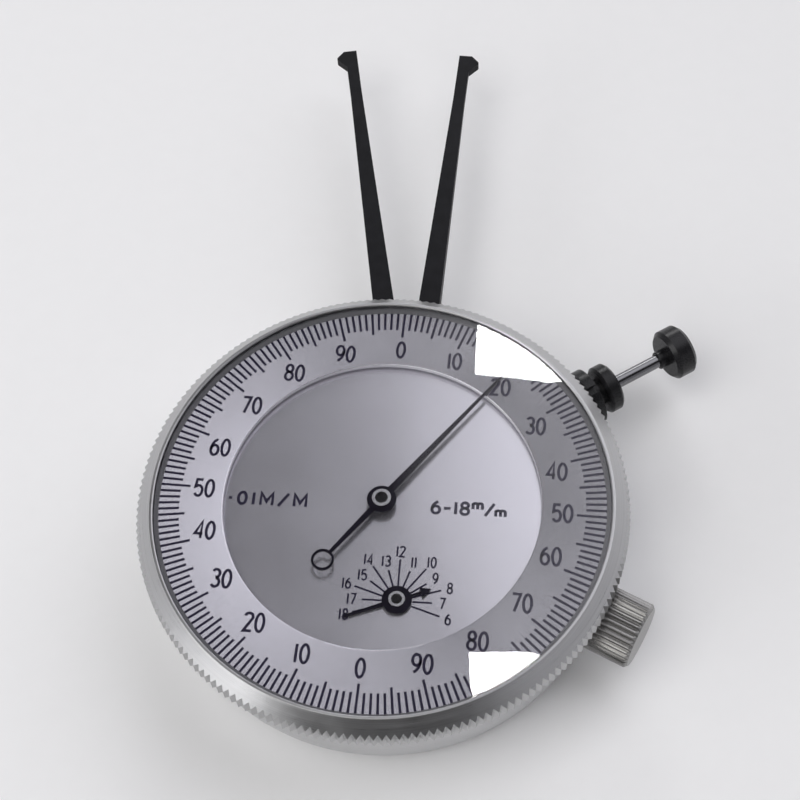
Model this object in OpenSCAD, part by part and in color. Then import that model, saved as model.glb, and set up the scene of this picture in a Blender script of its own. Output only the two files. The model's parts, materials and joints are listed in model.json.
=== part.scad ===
// Internal caliper gauge: a round dial gauge with two thin arms whose outward
// noses touch the wall of a hole. The back face lies at z = 0, +Z comes out of
// the dial, +Y runs along the arms, and the dial axis is the Z axis.

/* [Case] */
// Outer radius of the case wall
case_r = 24; // [23.5:0.1:26]
// Thickness of the case wall
case_wall = 1.4; // [1.2:0.1:1.8]
// How far the rounded back edge draws in
back_inset = 2; // [1:0.1:2.5]
// Height of the rounded back edge
back_edge_h = 3.2; // [2.2:0.1:3.8]
// Thickness of the back cover
cover_t = 1.2; // [1:0.1:2]
// Width of the rim around the back cover
cover_rim = 1.1; // [0.8:0.1:1.4]
// Width of the inner ledge between the cover and the lower plate
ledge_w = 4.2; // [3.8:0.1:5]
// Thickness of that ledge
ledge_t = 1.2; // [0.9:0.1:2]
// Free height between the upper plate and the case rim
rim_rise = 0.2; // [0.1:0.05:0.6]
// Chamfer on the case rim
rim_edge = 0.3; // [0.2:0.05:0.4]

/* [Movement] */
// Thickness of the lower plate
lower_plate_t = 1.2; // [0.9:0.1:2]
// Thickness of the upper plate
upper_plate_t = 1; // [0.8:0.1:1.6]
// Radius of the three pillars between the plates
pillar_r = 1.3; // [1.1:0.1:1.6]
// Distance of the pillars from the case bore
pillar_inset = 5; // [4.6:0.1:5.4]
// Depth of the screw holes in the pillars
pillar_hole = 3; // [2.5:0.1:4]
// Shank radius of the movement screws
screw_r = 0.65; // [0.5:0.05:0.8]
// Height of the movement screw heads
screw_head_h = 0.55; // [0.4:0.05:0.6]
// How far a screw head stands out from its shank
screw_head_rim = 0.45; // [0.35:0.05:0.5]
// Width of the screw slots
screw_slot = 0.3; // [0.2:0.05:0.4]
// Thickness of the bridge over the pivot
bridge_t = 0.9; // [0.7:0.1:1.1]
// Free gap between inner pieces that pass each other
pass_gap = 0.4; // [0.35:0.05:0.45]
// End play of the arbors, and the length a screw or pin stays short of its hole
end_play = 0.1; // [0.05:0.05:0.15]
// Running clearance on the radius of a turning pivot
run_fit = 0.03; // [0.02:0.01:0.06]
// Clearance on the radius of a piece that is fixed in its hole
seat_fit = 0.02; // [0.01:0.01:0.04]

/* [Arms] */
// Sideways place of the moving arm's pivot
pivot_x = -0.87; // [-1.1:0.01:-0.7]
// Distance of that pivot from the case bore
pivot_inset = 2.1; // [1.9:0.1:2.4]
// Radius of the pivot pin
pivot_r = 0.8; // [0.6:0.05:0.9]
// Sideways place of the fixed arm, level with the pivot
fixed_arm_x = 2.48; // [2.35:0.01:2.8]
// Lean of the moving arm, fully open
moving_lean = 10.8; // [8:0.1:13]
// Lean of the fixed arm
fixed_lean = 2.94; // [2:0.01:4]
// Length of the moving arm from its pivot to its nose
arm_len = 47.1; // [40:0.1:60]
// Thickness of both arms at the case
arm_t = 2.5; // [2:0.1:3]
// Thickness of both arms at their noses
arm_tip_t = 1; // [0.8:0.05:1.6]
// Width of an arm where it leaves the case
arm_root_w = 2.7; // [2.3:0.05:2.8]
// Width of an arm below its nose
arm_tip_w = 1.45; // [1.1:0.05:2]
// How far the nose stands out from the arm
nose_out = 1.12; // [0.6:0.02:1.6]
// Length of the arm above the nose
nose_top = 0.95; // [0.6:0.05:1.4]
// Length of the slope below the nose
nose_slope = 1.6; // [1:0.1:2.4]
// Radius that rounds the nose
nose_r = 0.35; // [0.2:0.05:0.5]
// Free height between the lower plate and the arms
arm_clear = 2.05; // [2:0.05:3]
// Length of the even stretch below an arm's nose, where the taper ends
arm_even = 6; // [4:0.5:10]
// Free room round the arms in the opening of the case
arm_room = 0.5; // [0.3:0.05:0.6]
// Wall of the lever's hub round its pivot pin
hub_wall = 0.8; // [0.6:0.05:0.9]
// Width of the lever's tail
tail_w = 2.2; // [1.9:0.1:2.4]
// Length of the tail beyond its thrust pad
tail_end = 1.3; // [1.1:0.1:1.6]
// Gap between the tail and the fixed arm's foot
foot_gap = 1.3; // [1.1:0.1:1.5]
// Length of that foot along the tail
foot_len = 10.2; // [9.8:0.1:10.4]
// Reach of that foot from the tail's line
foot_reach = 6.4; // [6.2:0.1:6.5]
// Radius of the stop pin
stop_r = 0.7; // [0.5:0.05:0.8]
// Distance of the stop pin from the pivot
stop_rad = 13.4; // [12.5:0.1:14.5]

/* [Gears] */
// Turn of the moving arm from fully open to fully closed
arm_turn = 15.2; // [13:0.1:16]
// Teeth on the full circle of the arm's internal sector
sector_teeth = 147; // [140:1:150]
// Leaves of the pinion that the sector drives
pinion_leaves = 10; // [9:1:11]
// Teeth of the counter wheel
wheel_teeth = 100; // [90:1:110]
// Leaves of the centre pinion
centre_leaves = 10; // [9:1:11]
// How far a pinion stands out past each face of its wheel
pinion_over = 0.2; // [0.1:0.05:0.3]
// Thickness of the toothed sector
sector_t = 1; // [0.7:0.1:1.2]
// Thickness of the lever stem below the sector
stem_t = 1.3; // [1:0.1:1.4]
// Width of the lever stem
stem_w = 1.9; // [1.5:0.1:2]
// Free gap between the lever stem and the centre arbor, fully open
stem_clear = 0.45; // [0.3:0.05:0.6]
// Thickness of the counter wheel
wheel_t = 0.6; // [0.4:0.1:0.8]
// Free height between the sector and the counter wheel
wheel_gap = 1.15; // [1.05:0.05:1.6]
// Free gap between the counter wheel and the case bore
wheel_clear = 0.85; // [0.7:0.05:1]
// Place of the counter arbor round the dial, clockwise from 12 o'clock
counter_clock = 167.7; // [165:0.1:171]
// Radius of the centre and counter arbors
arbor_r = 0.6; // [0.5:0.05:0.7]
// How much slimmer an arbor's lower pivot is
pivot_step = 0.2; // [0.1:0.05:0.25]
// Width of the limbs at the sector's two ends
limb_w = 2.3; // [2:0.1:2.5]
// Width of the sector's rim and of its brace
sector_rim = 1.6; // [1.2:0.1:1.8]
// Free gap round the pinion in the sector's window
window_gap = 0.3; // [0.2:0.05:0.5]
// Radius of the counter wheel's boss
wheel_boss_r = 2; // [1.6:0.1:2.6]
// Width of the counter wheel's rim below its teeth
wheel_rim = 0.7; // [0.5:0.1:1.2]
// Width of a tooth at the pitch line, as a part of the pitch
tooth_w = 0.44; // [0.38:0.01:0.45]

/* [Plunger] */
// Direction of the plunger, clockwise from 12 o'clock
plunger_clock = 56; // [54:0.1:59]
// Distance of the plunger axis from the dial axis
plunger_offset = 2.5; // [2.2:0.05:3.2]
// Radius of the plunger rod
rod_r = 0.75; // [0.6:0.05:0.9]
// Radius of the guide sleeve
guide_r = 1.6; // [1.3:0.05:1.9]
// Radius of the guide boss on the case
boss_r = 2.7; // [2.4:0.1:2.9]
// Length of the guide boss beyond the case wall
boss_reach = 3.1; // [2.8:0.05:4]
// Thickness of the slotted lock nut
nut_t = 1.1; // [0.8:0.1:1.8]
// Radius of the slotted lock nut
nut_r = 3.3; // [2.8:0.1:3.3]
// Width of the lock nut's four slots
nut_slot = 0.85; // [0.5:0.05:1.2]
// Depth of those slots
nut_slot_depth = 1; // [0.6:0.1:1.1]
// Turn of those slots round the plunger
nut_turn = 17; // [0:1:45]
// Gap between the lock nut and the guide collar
collar_gap = 1.1; // [0.6:0.1:1.5]
// Thickness of the guide collar
collar_t = 1.7; // [1:0.1:2.2]
// Radius of the guide collar
collar_r = 2.8; // [2.5:0.1:3.5]
// Bare length of the rod between the collar and the button's neck
rod_bare = 6.1; // [4.5:0.1:8]
// Length of the button's neck
neck_len = 1.1; // [1:0.1:3]
// Radius of the button's neck
neck_r = 1.05; // [1:0.05:1.5]
// Thickness of the button
button_t = 2.6; // [2:0.1:3]
// Radius of the button
button_r = 2.95; // [2.5:0.05:4]
// Radius of the lever's thrust pad
pad_r = 1; // [0.8:0.05:1.2]
// How far the thrust pad lies past the plunger's axis, fully open
pad_lead = 0.25; // [0.15:0.05:0.35]
// Chamfer on the guide collar
collar_edge = 0.3; // [0.2:0.05:0.4]
// Chamfer on the button's rims
button_edge = 0.45; // [0.3:0.05:0.6]
// Length of the guide sleeve inside the case bore
guide_in = 0.9; // [0.6:0.1:1.2]
// Thickness of the rod's retainer
retainer_t = 0.8; // [0.6:0.1:1]
// Wall of the rod's retainer
retainer_wall = 0.6; // [0.4:0.05:0.8]

/* [Bezel and dial] */
// Running clearance of the bezel on the case
bezel_fit = 0.08; // [0.05:0.01:0.1]
// Wall of the bezel skirt
skirt_t = 1.37; // [1.1:0.01:1.6]
// Depth of the skirt over the case rim
skirt_h = 1.1; // [0.9:0.05:1.2]
// Depth of the fine knurl
knurl_depth = 0.45; // [0.3:0.05:0.6]
// How far the knurl's roots stand out from the skirt
knurl_land = 0.15; // [0.1:0.05:0.3]
// Number of knurl teeth
knurl_teeth = 192; // [150:1:200]
// Height of the knurled band
knurl_h = 2.1; // [1.6:0.1:2.4]
// Wall of the bezel's inner spigot
spigot_w = 1; // [0.8:0.1:1.1]
// Height of the bezel floor under the ring dial
floor_t = 1.2; // [1:0.1:1.6]
// Radius of the opening in the ring dial
ring_open_r = 16.8; // [15.5:0.1:17.5]
// Thickness of the ring dial
ring_t = 0.5; // [0.3:0.1:0.8]
// Thickness of the inner dial
dial_t = 0.5; // [0.3:0.1:0.6]
// Overlap of the inner dial under the ring dial
dial_overlap = 0.6; // [0.4:0.1:1]
// Height of the feet that carry the inner dial
dial_foot_h = 0.75; // [0.7:0.05:0.8]
// Radius of the feet that carry the inner dial
dial_foot_r = 1; // [0.8:0.1:1.4]
// Overlap of the bezel seat beyond the case wall, under the crystal's edge
seat_over = 0.3; // [0.2:0.05:0.4]
// Overlap of the bezel lip over the crystal
lip_w = 0.25; // [0.15:0.05:0.3]
// Thickness of the bezel lip
lip_t = 0.2; // [0.15:0.05:0.4]
// Wall of the bezel beside the lip
lip_wall = 0.2; // [0.15:0.05:0.4]
// Thickness of the crystal
crystal_t = 0.4; // [0.35:0.05:0.6]
// Rise of the crystal's dome
crystal_rise = 1.9; // [1.8:0.1:3]
// Height of the sloping gasket between the ring dial and the crystal
gasket_t = 0.3; // [0.25:0.05:0.5]
// Width of that gasket at its foot
gasket_w = 0.73; // [0.6:0.01:0.9]
// Width of that gasket at its top
gasket_top_w = 0.28; // [0.2:0.01:0.4]
// Radius of the bezel's retaining wire
wire_r = 0.22; // [0.18:0.01:0.25]
// Clearance of that wire in the bezel's groove
wire_fit = 0.06; // [0.04:0.01:0.08]

/* [Hands] */
// Length of the main hand from the dial axis
main_hand_len = 21; // [18:0.1:22]
// Length of the main hand's tail to its ring
main_tail_len = 8.1; // [7:0.1:11]
// Direction of the main hand, clockwise from 12 o'clock
main_hand_clock = 37; // [0:1:359]
// Width of the main hand at its hub
main_hand_w = 0.84; // [0.6:0.02:1]
// Width of the main hand's point
main_tip_w = 0.14; // [0.1:0.02:0.3]
// Width of the main hand's tail
main_tail_w = 0.7; // [0.4:0.05:0.8]
// Radius of the ring at the end of that tail
tail_ring_r = 1.2; // [0.8:0.05:1.3]
// Width of that ring's line
tail_ring_w = 0.26; // [0.15:0.01:0.35]
// Length of the counter hand
counter_hand_len = 5.7; // [4:0.1:6]
// Length of the counter hand's tail
counter_tail_len = 3.7; // [2.5:0.1:4]
// Width of the counter hand at its hub
counter_hand_w = 0.48; // [0.3:0.02:0.6]
// Width of the counter hand's point
counter_tip_w = 0.24; // [0.15:0.01:0.3]
// Width of the line that joins the counter hand's arrow
counter_line_w = 0.2; // [0.15:0.01:0.3]
// Length and width of that arrow
counter_arrow = 1.1; // [0.8:0.05:1.4]
// Direction of the counter hand, clockwise from 12 o'clock
counter_hand_clock = 248; // [0:1:359]
// Thickness of the hands
hand_t = 0.2; // [0.15:0.05:0.3]
// Radius of the hands' hubs
hub_r = 1.55; // [1.2:0.05:1.8]
// Radius of the main hand's bright hub cap
main_cap_r = 1; // [0.8:0.01:1.2]
// Radius of the counter hand's bright hub cap
counter_cap_r = 0.85; // [0.75:0.01:1.1]
// Radius of the dimple in each hub cap
dimple_r = 0.54; // [0.3:0.02:0.6]
// Depth of that dimple
dimple_depth = 0.12; // [0.08:0.02:0.15]
// Free height under each hand
hand_gap = 0.2; // [0.15:0.05:0.25]
// Height of the main hand's hub
main_hub_h = 0.35; // [0.2:0.05:0.6]
// Height of the counter hand's hub
counter_hub_h = 0.25; // [0.15:0.05:0.3]

/* [Bezel clamp] */
// Direction of the clamp axis, clockwise from 12 o'clock
clamp_clock = 115.5; // [110:0.1:118]
// Distance of the clamp axis from the dial axis
clamp_offset = 2; // [0:0.1:2.4]
// Radius of the clamp knob
knob_r = 3.6; // [3:0.05:3.7]
// Length of the clamp knob
knob_len = 5.3; // [4:0.1:7]
// Number of flutes on the clamp knob
knob_flutes = 28; // [20:1:36]
// Depth of those flutes
flute_depth = 0.28; // [0.1:0.02:0.3]
// Gap between the knob and the case
knob_gap = 0.4; // [0.3:0.05:0.8]
// Radius of the clamp spindle
spindle_r = 1.25; // [1:0.05:1.4]
// Throw of the clamp cam
cam_throw = 0.25; // [0.15:0.01:0.3]
// Thickness of the clamp cam
cam_t = 0.85; // [0.6:0.05:0.9]
// Chamfer on the clamp knob's ends
knob_edge = 0.35; // [0.2:0.05:0.5]
// Gap between the clamp knob and the bezel skirt
knob_under = 0.3; // [0.25:0.05:0.5]
// Length of the spindle inside the clamp knob
spindle_grip = 2.9; // [2:0.1:3.4]

/* [Springs] */
// Wire radius of the return spring
spring_wire_r = 0.15; // [0.1:0.01:0.18]
// Coil radius of the return spring
spring_coil_r = 0.62; // [0.5:0.02:0.65]
// Number of coils of the return spring
spring_coils = 10; // [6:1:11]
// Distance of the return spring's pin from the thrust pad
spring_pin_back = 2.6; // [2.2:0.1:3]
// Distance of the return spring's post from the case bore
spring_post_inset = 4.2; // [3.8:0.1:4.6]
// Place of that post, clockwise from 12 o'clock
spring_post_clock = 72; // [70:1:74]
// Place of the hairspring's stud round its arbor, clockwise from 12 o'clock
hair_clock = 30; // [15:1:45]
// Turns of the hairspring
hair_turns = 4; // [2:1:5]
// Thickness of the hairspring strip
hair_t = 0.15; // [0.1:0.01:0.2]
// Radius that the hairspring's outer end reaches
hair_r = 4.5; // [4:0.1:4.8]
// Height of the hairspring strip
hair_h = 0.6; // [0.4:0.05:0.7]
// Wall of the hairspring's collet
collet_wall = 0.5; // [0.3:0.05:0.6]
// Radius of the hairspring's stud
stud_r = 0.45; // [0.35:0.05:0.55]
// Straight lead from each hook of the return spring to its coils
spring_lead = 1.2; // [0.8:0.1:1.6]

/* [Hidden] */
$fn = 64;

// Finishes
aluminium = [0.72, 0.73, 0.74];
steel = [0.62, 0.63, 0.65];
brass = [0.78, 0.64, 0.34];
black = [0.12, 0.12, 0.13];
dial_silver = [0.74, 0.73, 0.78];
nickel = [0.8, 0.8, 0.8];

// Small allowances: an overlap that joins shapes, a gap between flat faces, a cutter's overrun
eps = 0.01;
gap = 0.05;
cut = 1;

// Tooth heights in modules, and the room below the pinion's leaves in the sector
addendum = 0.8;
dedendum = 1.05;
sector_addendum = 0.6;
root_gap = 0.1;

// Heights, from the back face up
z_ledge = cover_t;
cover_sink = screw_head_h + end_play;
z_lower = z_ledge + ledge_t;
z_floor = z_lower + lower_plate_t;
z_arm = z_floor + arm_clear;
z_arm_top = z_arm + arm_t;
z_mid = z_arm + arm_t / 2;
z_bridge = z_arm_top + gap;
z_sector = z_arm + stem_t;
z_wheel = max(z_sector + sector_t, z_bridge) + wheel_gap - 2 * gap;
z_upper = max(z_wheel + wheel_t, z_bridge + bridge_t + screw_head_h) + pass_gap;
z_upper_top = z_upper + upper_plate_t;
z_rim = z_upper_top + rim_rise;
z_seat = z_rim + 2 * gap;
z_ring = z_seat + floor_t;
z_ring_top = z_ring + ring_t;
z_dial = z_upper_top + dial_foot_h;
z_dial_top = z_dial + dial_t;
z_crystal = z_ring_top + gasket_t;
z_lip = z_crystal + crystal_t + gap;
z_lip_top = z_lip + lip_t;
z_spigot = z_upper - rim_rise;
z_skirt = z_rim - skirt_h;
z_counter_hand = z_dial_top + hand_gap;
z_counter_hub = z_counter_hand + hand_t;
z_main_hand = max(z_counter_hub + counter_hub_h, z_ring_top) + hand_gap;
z_main_hub = z_main_hand + hand_t;
z_hair = z_floor + pass_gap;
z_spring = (z_floor + z_arm) / 2;
pin_head_h = 2 * spring_wire_r;
z_pin = z_spring - 5 * spring_wire_r;

// Radii of the case, the bezel and the dial
bore = case_r - case_wall;
back_r = case_r - back_inset;
cover_r = back_r - cover_rim;
ledge_r = bore - ledge_w;
plate_r = bore - pass_gap;
skirt_in = case_r + bezel_fit;
skirt_r = skirt_in + skirt_t;
knurl_r = skirt_r + knurl_depth + knurl_land;
spigot_r = bore - pass_gap;
spigot_in = spigot_r - spigot_w;
upper_plate_r = spigot_in - pass_gap;
glass_r = case_r + seat_over;
lip_r = glass_r - lip_w;

// Places in plan; a clock angle runs clockwise from +Y
function clock_dir(clock) = [sin(clock), cos(clock)];
function at(r, clock) = r * clock_dir(clock);
pivot_rad = bore - pivot_inset;
pivot = [pivot_x, sqrt(pivot_rad * pivot_rad - pivot_x * pivot_x)];
wheel_share = wheel_teeth / (wheel_teeth + centre_leaves);
wheel_tip_share = 2 * addendum / (wheel_teeth + centre_leaves);
counter_r = (bore - wheel_clear) / (1 + wheel_share + wheel_tip_share);
counter = at(counter_r, counter_clock);

// Gear sizes: the module of each pair follows from its centre distance
pair_1 = norm(counter - pivot);
mod_1 = 2 * pair_1 / (sector_teeth - pinion_leaves);
sector_r = mod_1 * sector_teeth / 2;
pinion_r = mod_1 * pinion_leaves / 2;
mod_2 = 2 * counter_r / (wheel_teeth + centre_leaves);
wheel_r = mod_2 * wheel_teeth / 2;
centre_r = mod_2 * centre_leaves / 2;
mesh_1 = atan2((counter - pivot).x, -(counter - pivot).y);
sector_pitch = 360 / sector_teeth;
pinion_tip_r = pinion_r + addendum * mod_1;
pinion_span = asin((pinion_tip_r + window_gap) / pair_1);
window_a = mesh_1 - pinion_span;
window_b = mesh_1 + arm_turn + pinion_span;
limb_a = 2 * asin(limb_w / 2 / pair_1);
stem_side = arbor_r + stem_clear + stem_w / 2;
stem_angle = -atan2(stem_side + pivot.x, pivot.y);
root_r = sector_r + addendum * mod_1 + root_gap;
rim_out = root_r + sector_rim;
brace_out = pair_1 - pinion_tip_r - 2 * window_gap;
brace_in = brace_out - sector_rim;

// Points around the pivot; the angle runs from straight down towards +X
function from_pivot(r, a) = pivot + r * [sin(a), -cos(a)];

// Plunger axis: its foot point lies nearest the dial axis
plunger_dir = clock_dir(plunger_clock);
plunger_side = [-plunger_dir.y, plunger_dir.x];
plunger_foot = plunger_offset * plunger_side;
s_wall = sqrt(case_r * case_r - plunger_offset * plunger_offset);
s_boss = s_wall + boss_reach;
s_nut = s_boss + gap;
s_collar = s_nut + nut_t + collar_gap;
s_collar_out = s_collar + collar_t;
s_neck = s_collar_out + rod_bare;
s_button = s_neck + neck_len;
s_rod_out = s_button + button_t / 2;
s_guide_in = sqrt(bore * bore - plunger_offset * plunger_offset) - guide_in;
tail_len = pivot * plunger_side - plunger_offset + pad_lead;
s_pad = pivot * plunger_dir;
s_rod_in = s_pad + pad_r + run_fit;
function on_tail(along, aside) = pivot - along * plunger_side - aside * plunger_dir;

// Arms
nose_v = arm_tip_w / 2 + nose_out;
fixed_arm_len = (arm_len * cos(moving_lean) - nose_v * sin(moving_lean) + nose_v * sin(fixed_lean))
  / cos(fixed_lean);
arm_exit = case_r - pivot.y;
lever_hub_r = pivot_r + hub_wall;
fixed_root = [fixed_arm_x, pivot.y];

// Bezel clamp: the knob's top stays under the bezel skirt
clamp_dir = clock_dir(clamp_clock);
clamp_foot = clamp_offset * [-clamp_dir.y, clamp_dir.x];
z_clamp = z_skirt - knob_under - knob_r;
cam_r = z_spigot - z_clamp - cam_throw - run_fit;
cam_side = cam_r + clamp_offset;
cam_out = sqrt(bore * bore - cam_side * cam_side) - 3 * gap;
cam_in = cam_out - cam_t;
cam_rest_turn = 120;
cam_room = cam_throw + pass_gap;
knob_in = case_r + knob_gap;
spindle_out = knob_in + spindle_grip;

// Screw circles
pillar_clocks = [-63, -125, 95];
lower_screw_clocks = [-95, -25, 150];
cover_screw_clocks = [45, 135, 225, 315];
foot_clocks = [-90, 35, 130];
pillar_rad = bore - pillar_inset;
lower_screw_rad = (ledge_r + plate_r) / 2;
cover_screw_rad = (ledge_r + cover_r) / 2;
foot_rad = ring_open_r - 2.5 * dial_foot_r;
screw_head_r = screw_r + screw_head_rim;
foot_start = 2.6;
foot_edge = foot_reach - 0.5;
bridge_holes = [on_tail(foot_start + 2, -foot_reach / 2), on_tail(foot_len - 2.3, 1.4 - foot_reach)];
sector_holes = [brace_in + sector_rim / 2, rim_out - sector_rim / 2];
spring_pin_at = on_tail(tail_len - spring_pin_back, tail_w / 2);
spring_post_at = at(bore - spring_post_inset, spring_post_clock);
stop_at = from_pivot(stop_rad, stem_angle) + [stem_w / 2 + stop_r + run_fit, 0];
stud_at = counter + at(hair_r + stud_r + 3 * gap, hair_clock);

// Teeth of a wheel as outline points, one tooth at clock angle phase
function teeth(n, r, m, phase, add, ded) = [
  for (i = [0 : n - 1])
    for (p = [[-1, -ded], [-0.5, add], [0.5, add], [1, -ded]])
      at(r + p[1] * m, phase + 360 / n * (i + p[0] * tooth_half(p[1]))) ];
// Half the width of a tooth, as a part of the pitch, at a height of h modules
function tooth_half(h) = h > 0 ? tooth_w * 0.42 : tooth_w * 0.72;

// Points of a circle arc round c, by clock angle
function arc(c, r, a, b, n) = [for (i = [0 : n]) c + at(r, a + (b - a) * i / n)];

module along(clock, z) {
  translate([0, 0, z]) rotate([0, 0, -clock]) rotate([-90, 0, 0]) children();
}

// A turned piece on the plunger axis, from s to s + h
module on_plunger(s, h, r) {
  translate([plunger_foot.x, plunger_foot.y, 0]) along(plunger_clock, z_mid)
    translate([0, 0, s]) cylinder(h = h, r = r);
}

// Places its children on the clamp axis, s from the dial axis
module clamp_axis(s) {
  translate([clamp_foot.x, clamp_foot.y, 0]) along(clamp_clock, z_clamp) translate([0, 0, s]) children();
}

// A turned piece on the clamp axis
module on_clamp(s, h, r) {
  clamp_axis(s) cylinder(h = h, r = r);
}

module post(p, z, h, r) {
  translate([p.x, p.y, z]) cylinder(h = h, r = r);
}

// A slotted cheese-head screw standing on z, its shank going down
module screw(p, z, shank) {
  difference() {
    union() {
      post(p, z - shank, shank + eps, screw_r - seat_fit);
      post(p, z, screw_head_h, screw_head_r);
    }
    translate([p.x - screw_head_r - cut, p.y - screw_slot / 2, z + screw_head_h / 2])
      cube([2 * (screw_head_r + cut), screw_slot, screw_head_h]);
  }
}

module case_body() {
  steps = 6;
  edge = [for (i = [0 : steps])
    [back_r + back_inset * sin(90 * i / steps), back_edge_h * (1 - cos(90 * i / steps))]];
  color(aluminium) difference() {
    union() {
      rotate_extrude() polygon(concat(
        [[cover_r + seat_fit, 0]], edge,
        [[case_r, z_rim - rim_edge], [case_r - rim_edge, z_rim], [bore, z_rim], [bore, z_lower],
          [ledge_r, z_lower], [ledge_r, z_ledge], [cover_r + seat_fit, z_ledge]]));
      difference() {
        on_plunger(s_wall - 2 * case_wall, boss_reach + 2 * case_wall, boss_r);
        translate([0, 0, -cut]) cylinder(h = z_rim + 2 * cut, r = bore);
      }
    }
    on_plunger(0, s_boss + cut, guide_r + seat_fit);
    on_clamp(bore - 2 * cut, case_wall + 4 * cut, spindle_r + run_fit);
    arm_slot();
    translate([0, 0, z_rim - skirt_h / 2]) rotate_extrude()
      translate([skirt_in, 0]) circle(r = wire_r + 2 * wire_fit, $fn = 24);
    for (clock = cover_screw_clocks)
      post(at(cover_screw_rad, clock), z_ledge - cut, ledge_t + 2 * cut, screw_r);
    for (clock = lower_screw_clocks)
      post(at(lower_screw_rad, clock), z_ledge - cut, ledge_t + 2 * cut, screw_r);
  }
}

// The opening in the case wall that the arms pass through
module arm_slot() {
  left = pivot.x - arm_exit * tan(moving_lean) - arm_root_w / 2 - arm_room;
  right = fixed_root.x + arm_exit * tan(fixed_lean) + arm_root_w / 2 + arm_room;
  translate([left, pivot.y - pivot_inset, z_arm - arm_room / 2])
    cube([right - left, arm_exit + 3 * pivot_inset, arm_t + arm_room]);
}

module back_cover() {
  color(aluminium) difference() {
    cylinder(h = cover_t, r = cover_r);
    for (clock = cover_screw_clocks) {
      post(at(cover_screw_rad, clock), -cut, cover_t + 2 * cut, screw_r);
      post(at(cover_screw_rad, clock), -cut, cover_sink + cut, screw_head_r + seat_fit);
    }
  }
}

module back_cover_screws() {
  color(steel) for (clock = cover_screw_clocks)
    translate([0, 0, 2 * cover_sink]) mirror([0, 0, 1])
      screw(at(cover_screw_rad, clock), cover_sink, z_lower - cover_sink - end_play);
}

module lower_plate() {
  color(brass) difference() {
    post([0, 0], z_lower, lower_plate_t, plate_r);
    post([0, 0], z_lower - cut, lower_plate_t + 2 * cut, arbor_r - pivot_step + run_fit);
    post(counter, z_lower - cut, lower_plate_t + 2 * cut, arbor_r - pivot_step + run_fit);
    post(pivot, z_lower - cut, lower_plate_t + 2 * cut, pivot_r);
    for (clock = lower_screw_clocks)
      post(at(lower_screw_rad, clock), z_lower - cut, lower_plate_t + 2 * cut, screw_r);
    for (p = bridge_holes) post(p, z_lower - cut, lower_plate_t + 2 * cut, screw_r);
    // Room for the clamp cam
    rotate([0, 0, -clamp_clock]) translate([-cam_side - cam_room, cam_in - cam_room, z_lower - cut])
      cube([2 * (cam_r + cam_room), bore - cam_in + cam_room, lower_plate_t + 2 * cut]);
  }
}

module lower_plate_screws() {
  color(steel) for (clock = lower_screw_clocks)
    screw(at(lower_screw_rad, clock), z_floor, lower_plate_t + ledge_t - end_play);
}

module plate_pillars() {
  color(brass) for (clock = pillar_clocks) difference() {
    post(at(pillar_rad, clock), z_floor, z_upper - z_floor, pillar_r);
    post(at(pillar_rad, clock), z_upper - pillar_hole, pillar_hole + cut, screw_r);
  }
}

module upper_plate() {
  color(brass) difference() {
    post([0, 0], z_upper, upper_plate_t, upper_plate_r);
    post([0, 0], z_upper - cut, upper_plate_t + 2 * cut, arbor_r + run_fit);
    post(counter, z_upper - cut, upper_plate_t + 2 * cut, arbor_r + run_fit);
    for (clock = pillar_clocks)
      post(at(pillar_rad, clock), z_upper - cut, upper_plate_t + 2 * cut, screw_r);
  }
}

module upper_plate_screws() {
  color(steel) for (clock = pillar_clocks)
    screw(at(pillar_rad, clock), z_upper_top, upper_plate_t + pillar_hole - end_play);
}

// The pivot pin has a shoulder that carries the lever
module pivot_pin() {
  color(steel) {
    post(pivot, z_lower + end_play, z_bridge + bridge_t - z_lower - end_play, pivot_r - seat_fit);
    post(pivot, z_floor, z_arm - gap - z_floor, lever_hub_r - 2 * gap);
  }
}

// The bridge holds the pin's upper end and clamps the fixed arm's foot
module pivot_bridge() {
  color(brass) difference() {
    translate([0, 0, z_bridge]) linear_extrude(bridge_t) polygon(concat(
      arc(pivot, lever_hub_r, 200, 350, 8),
      [on_tail(foot_start + pass_gap, -foot_edge), on_tail(foot_len - pass_gap, -foot_reach),
        on_tail(foot_len - pass_gap, -foot_reach / 2), on_tail(foot_len / 2, -foot_gap)]));
    post(pivot, z_bridge - cut, bridge_t + 2 * cut, pivot_r);
    for (p = bridge_holes) post(p, z_bridge - cut, bridge_t + 2 * cut, screw_r);
  }
}

module bridge_screws() {
  color(steel) for (p = bridge_holes)
    screw(p, z_bridge + bridge_t, z_bridge + bridge_t - z_lower - end_play);
}

// Outline of an arm: u runs along it from its root, v towards its outer side
function arm_outline(len, root) = [
  [root, -arm_root_w / 2], [len - arm_even, -arm_tip_w / 2], [len + nose_top, -arm_tip_w / 2],
  [len + nose_top, nose_v - nose_top],
  each [for (a = [45 : -22.5 : -45])
    [len - nose_r * tan(22.5) + nose_r * sin(a), nose_v - nose_r + nose_r * cos(a)]],
  [len - nose_slope, arm_tip_w / 2], [len - arm_even, arm_tip_w / 2], [root, arm_root_w / 2] ];

// An arm bar; side is 1 when its outer side faces -X
module arm_bar(base, lean, len, root, side) {
  points = [for (p = arm_outline(len, root))
    base + p[0] * clock_dir(-side * lean) + side * p[1] * clock_dir(-side * lean - 90)];
  translate([0, 0, z_arm]) linear_extrude(arm_t) polygon(points);
}

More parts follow.
